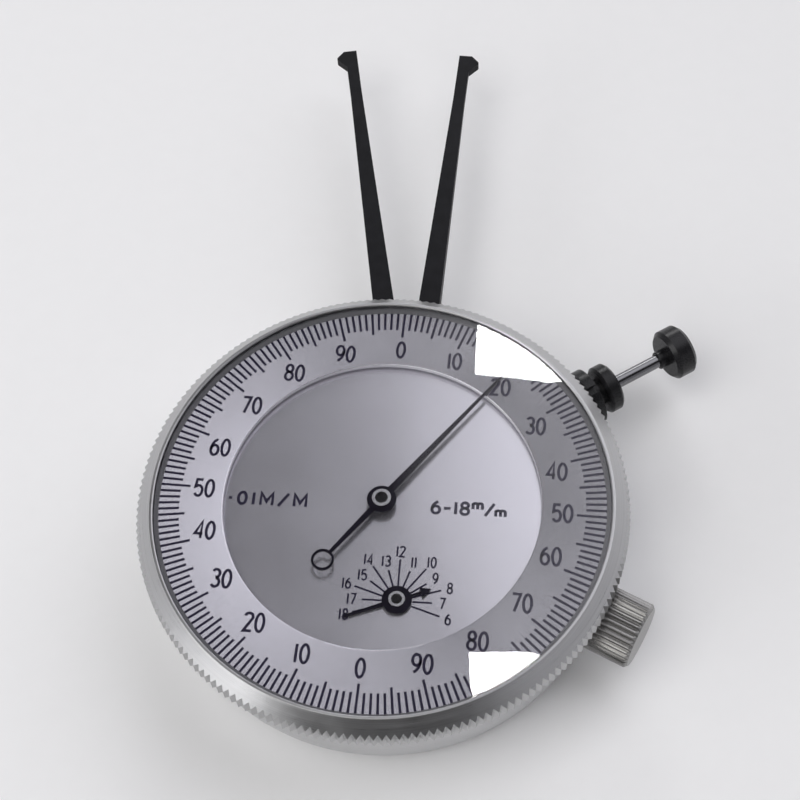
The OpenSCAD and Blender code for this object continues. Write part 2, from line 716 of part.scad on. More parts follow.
// Cuts that thin an arm evenly, below and above, from the case to the stretch below its nose
module arm_thinning(base, lean, len, side) {
  reach = nose_v + cut;
  even = len - arm_even;
  end = len + nose_top + cut;
  z_tip = z_mid - arm_tip_t / 2;
  start = arm_exit - cut;
  rise = (z_tip - z_arm) * cut / (even - arm_exit);
  wedge = [[start, z_arm - rise], [even, z_tip], [end, z_tip], [end, z_arm - cut], [start, z_arm - cut]];
  translate([base.x, base.y, z_mid]) rotate([0, 0, 90 + side * lean]) for (flip = [0, 1]) mirror([0, 0, flip])
    translate([0, reach, -z_mid]) rotate([90, 0, 0]) linear_extrude(2 * reach) polygon(wedge);
}

module fixed_arm() {
  half = arm_root_w / 2;
  foot = [fixed_root + [-half, half / 2], fixed_root + [-half, -half], on_tail(foot_len - 3, -foot_gap),
    on_tail(foot_len, -foot_reach / 2), on_tail(foot_len, -foot_reach), on_tail(foot_start, -foot_edge),
    fixed_root + [half, half / 2]];
  color(black) difference() {
    union() {
      arm_bar(fixed_root, fixed_lean, fixed_arm_len, 0, -1);
      translate([0, 0, z_floor]) linear_extrude(z_bridge - z_floor) polygon(foot);
    }
    arm_thinning(fixed_root, fixed_lean, fixed_arm_len, -1);
    for (p = bridge_holes) post(p, z_floor - cut, z_bridge - z_floor + 2 * cut, screw_r);
  }
}

// The moving arm is one lever: arm, hub, stem to the sector and tail to the plunger
module moving_arm() {
  reach = tail_len + tail_end;
  half = [stem_w / 2, 0];
  foot = from_pivot(rim_out - 2 * root_gap, stem_angle);
  tail = [on_tail(0, 0), on_tail(reach, 0), on_tail(reach, tail_w), on_tail(0, tail_w)];
  stem = [pivot - half, foot - half, foot + half, pivot + half];
  color(black) difference() {
    union() {
      arm_bar(pivot, moving_lean, arm_len, 0, 1);
      post(pivot, z_arm, arm_t, lever_hub_r);
      translate([0, 0, z_arm]) linear_extrude(arm_t) polygon(tail);
      translate([0, 0, z_arm]) linear_extrude(stem_t) polygon(stem);
    }
    arm_thinning(pivot, moving_lean, arm_len, 1);
    post(pivot, z_arm - cut, arm_t + 2 * cut, pivot_r - seat_fit + run_fit);
    post(spring_pin_at, z_arm - cut, arm_t / 2 + cut, screw_r);
    for (r = sector_holes)
      post(from_pivot(r, stem_angle), z_arm - cut, stem_t + 2 * cut, screw_r);
  }
}

// The toothed sector is a window frame with its teeth on the far side, facing the pivot
module toothed_sector() {
  a = stem_angle - limb_a / 2;
  b = window_b + limb_a;
  n = 16;
  foot_half = 0.82 * tooth_w;
  tip_half = 0.36 * tooth_w;
  first = ceil((window_a - mesh_1) / sector_pitch + foot_half);
  last = floor((window_b - mesh_1) / sector_pitch - foot_half);
  frame = concat([for (i = [0 : n]) from_pivot(rim_out, a + (b - a) * i / n)],
    [for (i = [n : -1 : 0]) from_pivot(brace_in, a + (b - a) * i / n)]);
  tip_r = sector_r - sector_addendum * mod_1;
  corners = [[-foot_half, root_r], [-tip_half, tip_r], [tip_half, tip_r], [foot_half, root_r]];
  window = concat(
    [for (i = [n : -1 : 0]) from_pivot(brace_out, window_a + (window_b - window_a) * i / n)],
    [from_pivot(root_r, window_a)],
    [for (i = [first : last]) for (p = corners) from_pivot(p[1], mesh_1 + (i + p[0]) * sector_pitch)],
    [from_pivot(root_r, window_b)]);
  color(brass) difference() {
    translate([0, 0, z_sector]) linear_extrude(sector_t) polygon(frame);
    translate([0, 0, z_sector - cut]) linear_extrude(sector_t + 2 * cut) polygon(window);
    for (r = sector_holes)
      post(from_pivot(r, stem_angle), z_sector - cut, sector_t + 2 * cut, screw_r);
  }
}

module sector_screws() {
  color(steel) for (r = sector_holes)
    screw(from_pivot(r, stem_angle), z_sector + sector_t, sector_t + stem_t - end_play);
}

module thrust_pad() {
  c = on_tail(tail_len, 0);
  color(steel) difference() {
    post(c, z_arm + 2 * end_play, arm_t - 4 * end_play, pad_r);
    translate([c.x, c.y, 0]) rotate([0, 0, -plunger_clock])
      translate([-2 * pad_r, -2 * pad_r, 0]) cube([4 * pad_r, 2 * pad_r, z_arm_top + cut]);
  }
}

module spring_pin() {
  color(steel) {
    post(spring_pin_at, z_pin, z_arm + arm_t / 2 - end_play - z_pin, screw_r - seat_fit);
    post(spring_pin_at, z_pin, pin_head_h, screw_r + spring_wire_r);
  }
}

module spring_post() {
  color(steel) post(spring_post_at, z_floor, z_spring + 5 * spring_wire_r - z_floor, screw_r);
}

// Extension spring: a hook round each post and a helix between them
module return_spring() {
  span = spring_post_at - spring_pin_at;
  len = norm(span);
  yaw = atan2(span.y, span.x);
  hook_r = screw_r + 1.5 * spring_wire_r;
  lead = hook_r + spring_lead;
  per_coil = 8;
  rings = per_coil * spring_coils;
  pitch = (len - 2 * lead) / spring_coils;
  hook_steps = 7;
  hook_turn = 250;
  start = [for (i = [0 : hook_steps]) let (a = 360 - hook_turn * (1 - i / hook_steps))
    [hook_r * cos(a), hook_r * sin(a), 0]];
  coil = [for (i = [0 : rings]) let (a = 360 * i / per_coil)
    [lead + pitch * i / per_coil, spring_coil_r * sin(a), spring_coil_r * cos(a)]];
  tip = [for (i = [0 : hook_steps]) let (a = 180 + hook_turn * i / hook_steps)
    [len + hook_r * cos(a), hook_r * sin(a), 0]];
  path = concat(start, coil, tip);
  step = min([for (i = [per_coil : rings]) norm(coil[i] - coil[i - per_coil])]);
  echo(return_spring_gap = step - 2 * spring_wire_r);
  color(steel) translate([spring_pin_at.x, spring_pin_at.y, z_spring]) rotate([0, 0, yaw])
    tube(path, spring_wire_r);
}

// A six-sided tube swept along a path
module tube(path, r) {
  n = len(path);
  sides = 6;
  function heading(i) = let (d = path[min(i + 1, n - 1)] - path[max(i - 1, 0)]) d / norm(d);
  function side_of(t) = let (s = cross(abs(t.z) < 0.8 ? [0, 0, 1] : [0, 1, 0], t)) s / norm(s);
  ring_points = [for (i = [0 : n - 1]) let (t = heading(i), s = side_of(t), u = cross(t, s))
    for (k = [0 : sides - 1]) let (a = 360 / sides * k) path[i] + r * (s * cos(a) + u * sin(a))];
  walls = [for (i = [0 : n - 2]) for (k = [0 : sides - 1]) let (a = i * sides + k,
    b = i * sides + (k + 1) % sides) each [[a, a + sides, b], [b, a + sides, b + sides]]];
  caps = [[for (k = [0 : sides - 1]) k], [for (k = [sides - 1 : -1 : 0]) (n - 1) * sides + k]];
  polyhedron(points = ring_points, faces = concat(walls, caps), convexity = 10);
}

module stop_pin() {
  color(steel) post(stop_at, z_floor, z_arm + stem_t - z_floor, stop_r);
}

module hairspring_collet() {
  color(brass) difference() {
    post(counter, z_hair - 2 * end_play, hair_h + 4 * end_play, arbor_r + collet_wall);
    post(counter, z_hair - cut, hair_h + 3 * cut, arbor_r + seat_fit);
  }
}

// Flat spiral strip from the collet to its stud
module hairspring() {
  inner = arbor_r + collet_wall + gap + hair_t / 2;
  outer = hair_r;
  steps = 20 * hair_turns;
  function spiral(i, side) = at(inner + (outer - inner) * i / steps + side * hair_t / 2,
    hair_clock - 360 * hair_turns * (steps - i) / steps);
  echo(hairspring_gap = (outer - inner) / hair_turns - hair_t);
  color(steel) translate([counter.x, counter.y, z_hair]) linear_extrude(hair_h)
    polygon(concat([for (i = [0 : steps]) spiral(i, 1)], [for (i = [steps : -1 : 0]) spiral(i, -1)]));
}

module hairspring_stud() {
  color(brass) post(stud_at, z_floor, z_hair + hair_h + 2 * end_play - z_floor, stud_r);
}

module dial_feet() {
  color(brass) for (clock = foot_clocks) post(at(foot_rad, clock), z_upper_top, dial_foot_h, dial_foot_r);
}

module dial_plate() {
  color(dial_silver) difference() {
    post([0, 0], z_dial, dial_t, ring_open_r + dial_overlap);
    post([0, 0], z_dial - cut, dial_t + 2 * cut, arbor_r + pass_gap);
    post(counter, z_dial - cut, dial_t + 2 * cut, arbor_r + pass_gap);
  }
}

// Guide sleeve with its outer collar, chamfered on both faces
module plunger_guide() {
  c = collar_edge;
  profile = [[rod_r + run_fit, s_guide_in], [guide_r, s_guide_in], [guide_r, s_collar],
    [collar_r - c, s_collar], [collar_r, s_collar + c], [collar_r, s_collar_out - c],
    [collar_r - c, s_collar_out], [rod_r + run_fit, s_collar_out]];
  color(black) translate([plunger_foot.x, plunger_foot.y, 0]) along(plunger_clock, z_mid)
    rotate_extrude() polygon(profile);
}

// Round nut with four slots in its rim
module guide_lock_nut() {
  color(black) translate([plunger_foot.x, plunger_foot.y, 0]) along(plunger_clock, z_mid)
    translate([0, 0, s_nut]) difference() {
      cylinder(h = nut_t, r = nut_r);
      translate([0, 0, -cut]) cylinder(h = nut_t + 2 * cut, r = guide_r + seat_fit);
      for (turn = [0 : 90 : 270]) rotate([0, 0, nut_turn + turn])
        translate([-nut_slot / 2, -nut_r - cut, -cut])
          cube([nut_slot, nut_slot_depth + cut, nut_t + 2 * cut]);
    }
}

module plunger_rod() {
  color(steel) on_plunger(s_rod_in, s_rod_out - s_rod_in, rod_r);
}

// Button with rounded rims and a neck that grips the rod
module plunger_button() {
  c = button_edge;
  b = rod_r + seat_fit;
  s_face = s_button + button_t;
  profile = [[b, s_neck], [neck_r - 2 * gap, s_neck], [neck_r, s_neck + 2 * gap], [neck_r, s_button],
    [button_r - c, s_button], [button_r, s_button + c], [button_r, s_face - c], [button_r - c, s_face],
    [0, s_face], [0, s_rod_out + eps], [b, s_rod_out + eps]];
  color(black) translate([plunger_foot.x, plunger_foot.y, 0]) along(plunger_clock, z_mid)
    rotate_extrude() polygon(profile);
}

module rod_retainer() {
  color(steel) difference() {
    on_plunger(s_guide_in - gap - retainer_t, retainer_t, rod_r + retainer_wall);
    on_plunger(s_guide_in - retainer_t - cut, retainer_t + 2 * cut, rod_r + seat_fit);
  }
}

// Arbor with the pinion that the sector drives
module counter_arbor() {
  phase = 180 - mesh_1 + 180 / pinion_leaves;
  color(steel) {
    post(counter, z_lower + end_play, z_floor - z_lower, arbor_r - pivot_step);
    post(counter, z_floor + end_play, z_counter_hub - z_floor - end_play, arbor_r);
    translate([counter.x, counter.y, z_sector - pinion_over]) linear_extrude(sector_t + 2 * pinion_over)
      polygon(teeth(pinion_leaves, pinion_r, mod_1, phase, addendum, dedendum));
  }
}

// Counter wheel with its boss and five spokes
module counter_wheel() {
  spokes = 5;
  turn = 360 / spokes;
  rim = wheel_r - dedendum * mod_2 - wheel_rim;
  color(brass) difference() {
    translate([counter.x, counter.y, z_wheel]) linear_extrude(wheel_t) polygon(
      teeth(wheel_teeth, wheel_r, mod_2, counter_clock + 180, addendum, dedendum));
    for (i = [0 : spokes - 1]) translate([counter.x, counter.y, z_wheel - cut])
      linear_extrude(wheel_t + 2 * cut) polygon(concat(
        arc([0, 0], rim, turn * i + 5, turn * (i + 1) - 5, 6),
        arc([0, 0], wheel_boss_r, turn * (i + 1) - 20, turn * i + 20, 3)));
    post(counter, z_wheel - cut, wheel_t + 2 * cut, arbor_r + seat_fit);
  }
}

module centre_arbor() {
  phase = counter_clock + 180 / centre_leaves;
  color(steel) {
    post([0, 0], z_lower + end_play, z_floor - z_lower, arbor_r - pivot_step);
    post([0, 0], z_floor + end_play, z_main_hub - z_floor - end_play, arbor_r);
    translate([0, 0, z_wheel - pinion_over]) linear_extrude(wheel_t + 2 * pinion_over)
      polygon(teeth(centre_leaves, centre_r, mod_2, phase, addendum, dedendum));
  }
}

// Tapered outline of a hand or of its tail: length, width at the hub and at the point
function hand_blade(len, w, tip) = [[-w / 2, 0], [-tip / 2, len], [tip / 2, len], [w / 2, 0]];

// A hub cap with a dimple in its face
module hub_cap(p, z, h, r) {
  difference() {
    post(p, z, h, r);
    post(p, z + h - dimple_depth, dimple_depth + cut, dimple_r);
  }
}

module main_hand() {
  ring = [0, tail_ring_w / 2 - main_tail_len - tail_ring_r];
  color(black) translate([0, 0, z_main_hand]) rotate([0, 0, -main_hand_clock]) difference() {
    union() {
      linear_extrude(hand_t) polygon(hand_blade(main_hand_len, main_hand_w, main_tip_w));
      linear_extrude(hand_t) polygon(hand_blade(-main_tail_len, main_tail_w, main_tail_w / 2));
      cylinder(h = hand_t, r = hub_r);
      post(ring, 0, hand_t, tail_ring_r);
    }
    post(ring, -cut, hand_t + 2 * cut, tail_ring_r - tail_ring_w);
    post([0, 0], -cut, hand_t + 2 * cut, arbor_r + seat_fit);
  }
}

module main_hand_hub() {
  color(nickel) hub_cap([0, 0], z_main_hub, main_hub_h, main_cap_r);
}

module counter_hand() {
  half = counter_arrow / 2;
  barb = counter_arrow - counter_tail_len;
  color(black) translate([counter.x, counter.y, z_counter_hand]) rotate([0, 0, -counter_hand_clock])
    difference() {
      union() {
        linear_extrude(hand_t) polygon(hand_blade(counter_hand_len, counter_hand_w, counter_tip_w));
        linear_extrude(hand_t) polygon(hand_blade(barb - eps, counter_line_w, counter_line_w));
        linear_extrude(hand_t) polygon([[half, barb], [0, -counter_tail_len], [-half, barb]]);
        cylinder(h = hand_t, r = hub_r);
      }
      post([0, 0], -cut, hand_t + 2 * cut, arbor_r + seat_fit);
    }
}

module counter_hand_hub() {
  color(nickel) hub_cap(counter, z_counter_hub, counter_hub_h, counter_cap_r);
}

// Bezel: spigot inside the case, skirt outside it, knurled band, cone and crystal lip
module bezel_ring() {
  cone_z = z_ring_top - 2 * gap;
  c = lip_t / 2;
  lip_out = glass_r + lip_wall;
  slope = (z_lip_top - c - cone_z) / (skirt_r - lip_out);
  profile = [[spigot_in, z_spigot], [spigot_r, z_spigot], [spigot_r, z_seat], [skirt_in, z_seat],
    [skirt_in, z_skirt], [skirt_r, z_skirt], [skirt_r, cone_z], [lip_out, z_lip_top - c],
    [lip_out - c, z_lip_top], [lip_r + c, z_lip_top], [lip_r, z_lip_top - c], [lip_r, z_lip],
    [glass_r, z_lip], [glass_r, z_ring], [spigot_in, z_ring]];
  band = [for (i = [0 : knurl_teeth - 1]) for (p = [[0, 0], [0.5, 1]])
    at(knurl_r - knurl_depth * (1 - p[1]), 360 / knurl_teeth * (i + p[0]))];
  color(aluminium) difference() {
    union() {
      rotate_extrude($fn = 96) polygon(profile);
      // The cone runs on over the tops of the teeth
      difference() {
        intersection() {
          translate([0, 0, cone_z - knurl_h]) linear_extrude(knurl_h + knurl_land * slope) polygon(band);
          translate([0, 0, cone_z - knurl_h])
            cylinder(h = knurl_h + knurl_land * slope, r1 = skirt_r + knurl_h / slope,
              r2 = skirt_r - knurl_land, $fn = 96);
        }
        translate([0, 0, z_skirt - cut]) cylinder(h = z_lip_top, r = skirt_r - knurl_land, $fn = 96);
      }
    }
    translate([0, 0, z_rim - skirt_h / 2]) rotate_extrude($fn = 96)
      translate([skirt_in, 0]) circle(r = wire_r + wire_fit, $fn = 24);
  }
}

module bezel_wire() {
  color(steel) translate([0, 0, z_rim - skirt_h / 2]) rotate_extrude($fn = 96)
    translate([skirt_in, 0]) circle(r = wire_r, $fn = 24);
}

module ring_dial() {
  color(dial_silver) translate([0, 0, z_ring]) difference() {
    cylinder(h = ring_t, r = glass_r - seat_fit, $fn = 96);
    translate([0, 0, -cut]) cylinder(h = ring_t + 2 * cut, r = ring_open_r, $fn = 96);
  }
}

// Its sloping inner face shows as a narrow band round the ring dial
module crystal_gasket() {
  r = glass_r - seat_fit;
  color(black) rotate_extrude($fn = 96) polygon([[r - gasket_w, z_ring_top], [r, z_ring_top],
    [r, z_crystal], [r - gasket_top_w, z_crystal]]);
}

// Domed crystal: a flat edge under the lip and a spherical cap
module crystal() {
  foot_r = glass_r - gap;
  dome_r = lip_r - 2 * gap;
  bowl_r = glass_r - gasket_w - gap;
  ball = (dome_r * dome_r + crystal_rise * crystal_rise) / (2 * crystal_rise);
  z_top = z_crystal + crystal_t;
  color([0.9, 0.95, 1, 0.25]) difference() {
    union() {
      translate([0, 0, z_crystal]) cylinder(h = crystal_t, r = foot_r, $fn = 96);
      intersection() {
        translate([0, 0, z_crystal]) cylinder(h = crystal_rise + 2 * crystal_t, r = dome_r, $fn = 96);
        translate([0, 0, z_top + crystal_rise - ball]) sphere(r = ball, $fn = 96);
      }
    }
    intersection() {
      translate([0, 0, z_crystal - cut]) cylinder(h = crystal_rise + cut + crystal_t, r = bowl_r, $fn = 96);
      translate([0, 0, z_crystal + crystal_rise - ball]) sphere(r = ball, $fn = 96);
    }
  }
}

// Fluted knob with chamfered ends and a blind bore for its spindle
module clamp_knob() {
  c = knob_edge;
  core_r = knob_r - flute_depth - 2 * gap;
  core = [[0, 0], [core_r - c, 0], [core_r, c], [core_r, knob_len - c], [core_r - c, knob_len],
    [0, knob_len]];
  flutes = [for (i = [0 : knob_flutes - 1]) for (p = [[0.05, 0], [0.3, 1], [0.7, 1], [0.95, 0]])
    at(knob_r - flute_depth * (1 - p[1]), 360 / knob_flutes * (i + p[0]))];
  color(nickel) clamp_axis(knob_in) difference() {
    union() {
      rotate_extrude() polygon(core);
      translate([0, 0, c + gap]) linear_extrude(knob_len - 2 * (c + gap)) polygon(flutes);
    }
    translate([0, 0, -cut]) cylinder(h = spindle_out - knob_in + cut, r = spindle_r + seat_fit);
  }
}

module clamp_spindle() {
  color(steel) on_clamp(cam_in, spindle_out - cam_in, spindle_r);
}

// Eccentric disc that lifts against the bezel spigot when the knob is turned
module clamp_cam() {
  color(steel) clamp_axis(cam_in) difference() {
    rotate([0, 0, cam_rest_turn]) translate([0, -cam_throw, 0]) cylinder(h = cam_t, r = cam_r);
    translate([0, 0, -cut]) cylinder(h = cam_t + 2 * cut, r = spindle_r + seat_fit);
  }
}

case_body();
back_cover();
back_cover_screws();
lower_plate();
lower_plate_screws();
plate_pillars();
upper_plate();
upper_plate_screws();
pivot_pin();
pivot_bridge();
bridge_screws();
fixed_arm();
stop_pin();
spring_post();
return_spring();
hairspring_stud();
hairspring();
dial_feet();
dial_plate();
plunger_guide();
guide_lock_nut();
moving_arm();
toothed_sector();
sector_screws();
spring_pin();
thrust_pad();
counter_arbor();
counter_wheel();
hairspring_collet();
counter_hand();
counter_hand_hub();
centre_arbor();
main_hand();
main_hand_hub();
plunger_rod();
plunger_button();
rod_retainer();
bezel_ring();
ring_dial();
crystal_gasket();
crystal();
bezel_wire();
clamp_knob();
clamp_spindle();
clamp_cam();
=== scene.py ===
"""Looks of the internal caliper gauge: finishes, dial printing, studio light and camera."""

import json
from math import copysign, cos, pi, radians, sin, sqrt

import bmesh
import bpy
from mathutils import Matrix, Quaternion, Vector


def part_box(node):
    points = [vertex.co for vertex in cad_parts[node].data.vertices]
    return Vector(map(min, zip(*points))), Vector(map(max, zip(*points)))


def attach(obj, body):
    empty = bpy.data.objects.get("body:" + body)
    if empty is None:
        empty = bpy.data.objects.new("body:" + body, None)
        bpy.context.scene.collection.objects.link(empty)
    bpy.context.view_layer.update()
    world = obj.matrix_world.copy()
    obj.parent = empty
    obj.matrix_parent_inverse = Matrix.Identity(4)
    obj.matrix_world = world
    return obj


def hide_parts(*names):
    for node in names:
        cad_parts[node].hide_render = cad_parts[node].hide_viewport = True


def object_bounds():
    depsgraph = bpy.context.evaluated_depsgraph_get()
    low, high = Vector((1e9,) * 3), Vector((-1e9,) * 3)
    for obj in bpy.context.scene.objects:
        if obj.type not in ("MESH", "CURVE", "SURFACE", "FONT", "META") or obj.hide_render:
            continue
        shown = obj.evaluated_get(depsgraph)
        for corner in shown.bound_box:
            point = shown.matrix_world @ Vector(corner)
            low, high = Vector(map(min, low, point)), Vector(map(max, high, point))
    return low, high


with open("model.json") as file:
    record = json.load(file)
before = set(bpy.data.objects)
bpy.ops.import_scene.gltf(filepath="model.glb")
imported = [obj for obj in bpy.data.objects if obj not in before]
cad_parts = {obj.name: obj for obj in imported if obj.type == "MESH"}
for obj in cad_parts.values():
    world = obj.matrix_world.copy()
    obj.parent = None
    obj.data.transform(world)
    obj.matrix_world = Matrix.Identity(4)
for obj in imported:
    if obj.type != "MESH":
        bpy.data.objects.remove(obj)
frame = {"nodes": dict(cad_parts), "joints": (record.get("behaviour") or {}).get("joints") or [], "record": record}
cad_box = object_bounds()
nodes = frame["nodes"]

MM = 0.001
UP = Vector((0, 0, 1))
WHITE = (1, 1, 1)

# Camera, in the gauge's own frame: where it stands, what it looks at, and its tilt about that line
CAMERA_AT = Vector((14.598, -80.892, 170.753)) * MM
CAMERA_TARGET = Vector((0.975, 12.359, 13.25)) * MM
CAMERA_ROLL = radians(-4.573)
LENS = 75.94
SENSOR = 36.0
IMAGE_SIDE = 800
CLIP_NEAR, CLIP_FAR = 0.01, 10

# Places read from the frame
dial_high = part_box("dial_plate")[1]
ring_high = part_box("ring_dial")[1]
counter_low, counter_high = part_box("counter_hand_hub")
crystal_low, crystal_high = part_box("crystal")
DIAL_TOP = dial_high.z
RING_TOP = ring_high.z
DIAL_CENTRE = Vector((0, 0, DIAL_TOP))
COUNTER = Vector(((counter_low.x + counter_high.x) / 2, (counter_low.y + counter_high.y) / 2))

# Printing: how thick the ink is, and how far it sinks into the dial
INK_T = 0.012 * MM
INK_SINK = 0.004 * MM

# Strokes
MITRE_COSINE = 0.3  # least cosine that a corner's mitre is worked out from
MITRE_LONGEST = 2.2  # longest mitre, in half widths
LEAST_WAY = 1e-6  # below this, a stroke turns back on itself
LOOP_GAP = 0.05  # a loop's end lies this near its start, in widths

# Main scale: two hundred divisions, numbered to a hundred twice, turned a little from the arms' line
MAIN_TURN = 1.7
MAIN_DIVISIONS = 200
MAIN_NUMBERED = 100
MAIN_LABEL_EVERY = 10
MAIN_TICK_OUT = 23.55 * MM
MAIN_TICK_IN = {MAIN_LABEL_EVERY: 20.45 * MM, 5: 20.8 * MM, 1: 21.4 * MM}
MAIN_TICK_W = 0.27 * MM
MAIN_LABEL_H = 1.95 * MM
MAIN_STROKE = 0.3 * MM
MAIN_GAP = 0.18
# How far a number's middle lies in from the inner end of its tick: sideways, and up or down
MAIN_LABEL_IN = Vector((1.5, 1.65)) * MM
MAIN_LABEL_POWER = 1.5  # the first grows with this power of the tick's sideways share
MAIN_LABEL_STEEP = 0.5  # the second is full from this upright share on

# Counter scale: one line for each millimetre, from 18 round to 6; pairs are for even and odd numbers
COUNTER_FIRST, COUNTER_LAST, COUNTER_TOP = 6, 18, 12
COUNTER_STEP = 18
COUNTER_TICK_IN = 1.6 * MM
COUNTER_TICK_OUT = (4.7 * MM, 3.6 * MM)
COUNTER_LABEL_R = (5.6 * MM, 4.67 * MM)
COUNTER_TICK_W = 0.2 * MM
COUNTER_LABEL_H = 1.15 * MM
COUNTER_STROKE = 0.19 * MM
COUNTER_GAP = 0.2

# Words on the inner dial: name, text, middle, gap between letters
WORDS = (
    ("unit_text", ".01M/M", Vector((-12.2, -0.12)) * MM, 0.48),
    ("range_text", "6-18%", Vector((9.14, -0.1)) * MM, 0.3),
)
WORD_H = 1.4 * MM
WORD_STROKE = 0.32 * MM
WORD_STRETCH = 1.42  # letters are drawn this much wider

# Glyphs' widths as a share of their height
DIGIT_W = 0.42
LETTER_W = 0.62


# Stroke glyphs

def arc(cx, cy, rx, ry, start, end, steps=12):
    """Points of an ellipse's arc, angles in degrees, anticlockwise from +x."""
    turn = [radians(start + (end - start) * i / steps) for i in range(steps + 1)]
    return [(cx + rx * cos(a), cy + ry * sin(a)) for a in turn]


def turned(strokes, w):
    """Strokes turned half round in a cell of width w and height 1."""
    return [[(w - x, 1 - y) for x, y in s] for s in strokes]


def scaled(strokes, size, dx=0.0, dy=0.0):
    """Strokes made smaller and moved."""
    return [[(dx + size * x, dy + size * y) for x, y in s] for s in strokes]


def glyphs():
    """{character: (width, strokes)} in a cell of height 1; % stands for the sign of millimetres."""
    w = DIGIT_W
    r = w / 2
    m = LETTER_W
    six = [arc(r, 0.31, r, 0.31, 0, 360), arc(w, 0.31, w, 0.69, 180, 104)]
    small_m = [[(0, 0), (0, 1)],
               [*arc(0.25, 0.7, 0.25, 0.28, 180, 0, 6), (0.5, 0)],
               [*arc(0.75, 0.7, 0.25, 0.28, 180, 0, 6), (1, 0)]]
    small = 0.5
    fraction = [*scaled(small_m, small, 0, 0.5), [(0.66, -0.02), (1.12, 1.02)],
                *scaled(small_m, small, 1.22, -0.02)]
    return {
        "0": (w, [arc(r, 0.5, r, 0.5, 90, 450, 28)]),
        "1": (0.12, [[(0.06, 0), (0.06, 1)]]),
        "2": (w, [[*arc(r, 1 - r, r, r, 165, -28), (0, 0), (w, 0)]]),
        "3": (w, [[*arc(r, 0.765, 0.9 * r, 0.235, 150, -90), *arc(r, 0.265, r, 0.265, 90, -150)]]),
        "4": (w, [[(0.78 * w, 0), (0.78 * w, 1), (0, 0.27), (w, 0.27)]]),
        "5": (w, [[(0.92 * w, 1), (0.14 * w, 1), (0.06 * w, 0.55), *arc(r, 0.32, r, 0.32, 128, -150)]]),
        "6": (w, six),
        "7": (w, [[(0, 1), (w, 1), (0.34 * w, 0)]]),
        "8": (w, [arc(r, 0.765, 0.86 * r, 0.235, -90, 270), arc(r, 0.265, r, 0.265, 90, 450)]),
        "9": (w, turned(six, w)),
        "M": (m, [[(0, 0), (0, 1), (m / 2, 0.3), (m, 1), (m, 0)]]),
        "/": (0.5, [[(0, -0.04), (0.5, 1.04)]]),
        "-": (0.36, [[(0, 0.46), (0.36, 0.46)]]),
        ".": (0.18, [[(0, 0.48), (0.18, 0.48)]]),
        "%": (1.72, fraction),
    }


GLYPHS = glyphs()


def text_strokes(text, height, gap, stretch=1.0):
    """Strokes of a line of text round its own middle."""
    at, placed = 0.0, []
    for c in text:
        width, strokes = GLYPHS[c]
        placed += [[(at + stretch * x, y) for x, y in s] for s in strokes]
        at += stretch * width + gap
    width = at - gap
    return [[((x - width / 2) * height, (y - 0.5) * height) for x, y in s] for s in placed]


def clock(r, turn):
    """Point at radius r, turn degrees clockwise from 12 o'clock."""
    return Vector((r * sin(radians(turn)), r * cos(radians(turn))))


def rotated(point, turn):
    """A point turned clockwise about the origin."""
    return Matrix.Rotation(-radians(turn), 2) @ Vector(point)


# Ink

def side_points(points, half, closed):
    """The stroke's left and right edges, mitred at its corners."""
    count = len(points)
    left, right = [], []
    for i, p in enumerate(points):
        before = points[i - 1] if closed or i else None
        after = points[(i + 1) % count] if closed or i < count - 1 else None
        into = (p - before).normalized() if before else (after - p).normalized()
        out = (after - p).normalized() if after else into
        along = into + out
        along = along.normalized() if along.length > LEAST_WAY else into
        stretch = min(1 / max(along.dot(out), MITRE_COSINE), MITRE_LONGEST)
        across = Vector((-along.y, along.x)) * half * stretch
        left.append(p + across)
        right.append(p - across)
    return left, right


def add_stroke(bm, points, width, z):
    """One closed prism of ink along the points; a stroke that ends where it starts is a loop."""
    points = [Vector(p) for p in points]
    closed = len(points) > 2 and (points[0] - points[-1]).length < LOOP_GAP * width
    if closed:
        points = points[:-1]
    edges = side_points(points, width / 2, closed)
    levels = (z - INK_SINK, z + INK_T)
    rows = [[bm.verts.new((*p, level)) for p in pair for level in levels] for pair in zip(*edges)]
    pairs = list(zip(rows, rows[1:]))
    if closed:
        pairs.append((rows[-1], rows[0]))
    for (la, lb, ra, rb), (lc, ld, rc, rd) in pairs:
        bm.faces.new((lb, rb, rd, ld))
        bm.faces.new((la, lc, rc, ra))
        bm.faces.new((la, lb, ld, lc))
        bm.faces.new((ra, rc, rd, rb))
    if not closed:
        la, lb, ra, rb = rows[0]
        bm.faces.new((la, ra, rb, lb))
        la, lb, ra, rb = rows[-1]
        bm.faces.new((la, lb, rb, ra))


def new_piece(name, bm, body):
    """An object from a finished bmesh that rides on a body."""
    mesh = bpy.data.meshes.new(name)
    bm.to_mesh(mesh)
    bm.free()
    piece = bpy.data.objects.new(name, mesh)
    bpy.context.scene.collection.objects.link(piece)
    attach(piece, body)
    return piece


def print_piece(name, body, z, strokes):
    """A mesh of ink from (points, width) strokes that rides on a body."""
    bm = bmesh.new()
    for points, width in strokes:
        add_stroke(bm, points, width, z)
    bmesh.ops.recalc_face_normals(bm, faces=bm.faces)
    return new_piece(name, bm, body)


def label_middle(end):
    """Middle of the upright number that belongs to a tick with this inner end."""
    flat, steep = abs(end.x) / end.length, abs(end.y) / end.length
    rise = sin(min(steep / MAIN_LABEL_STEEP, 1) * pi / 2)
    return Vector((end.x - copysign(MAIN_LABEL_IN.x * flat ** MAIN_LABEL_POWER, end.x),
                   end.y - copysign(MAIN_LABEL_IN.y * rise, end.y)))


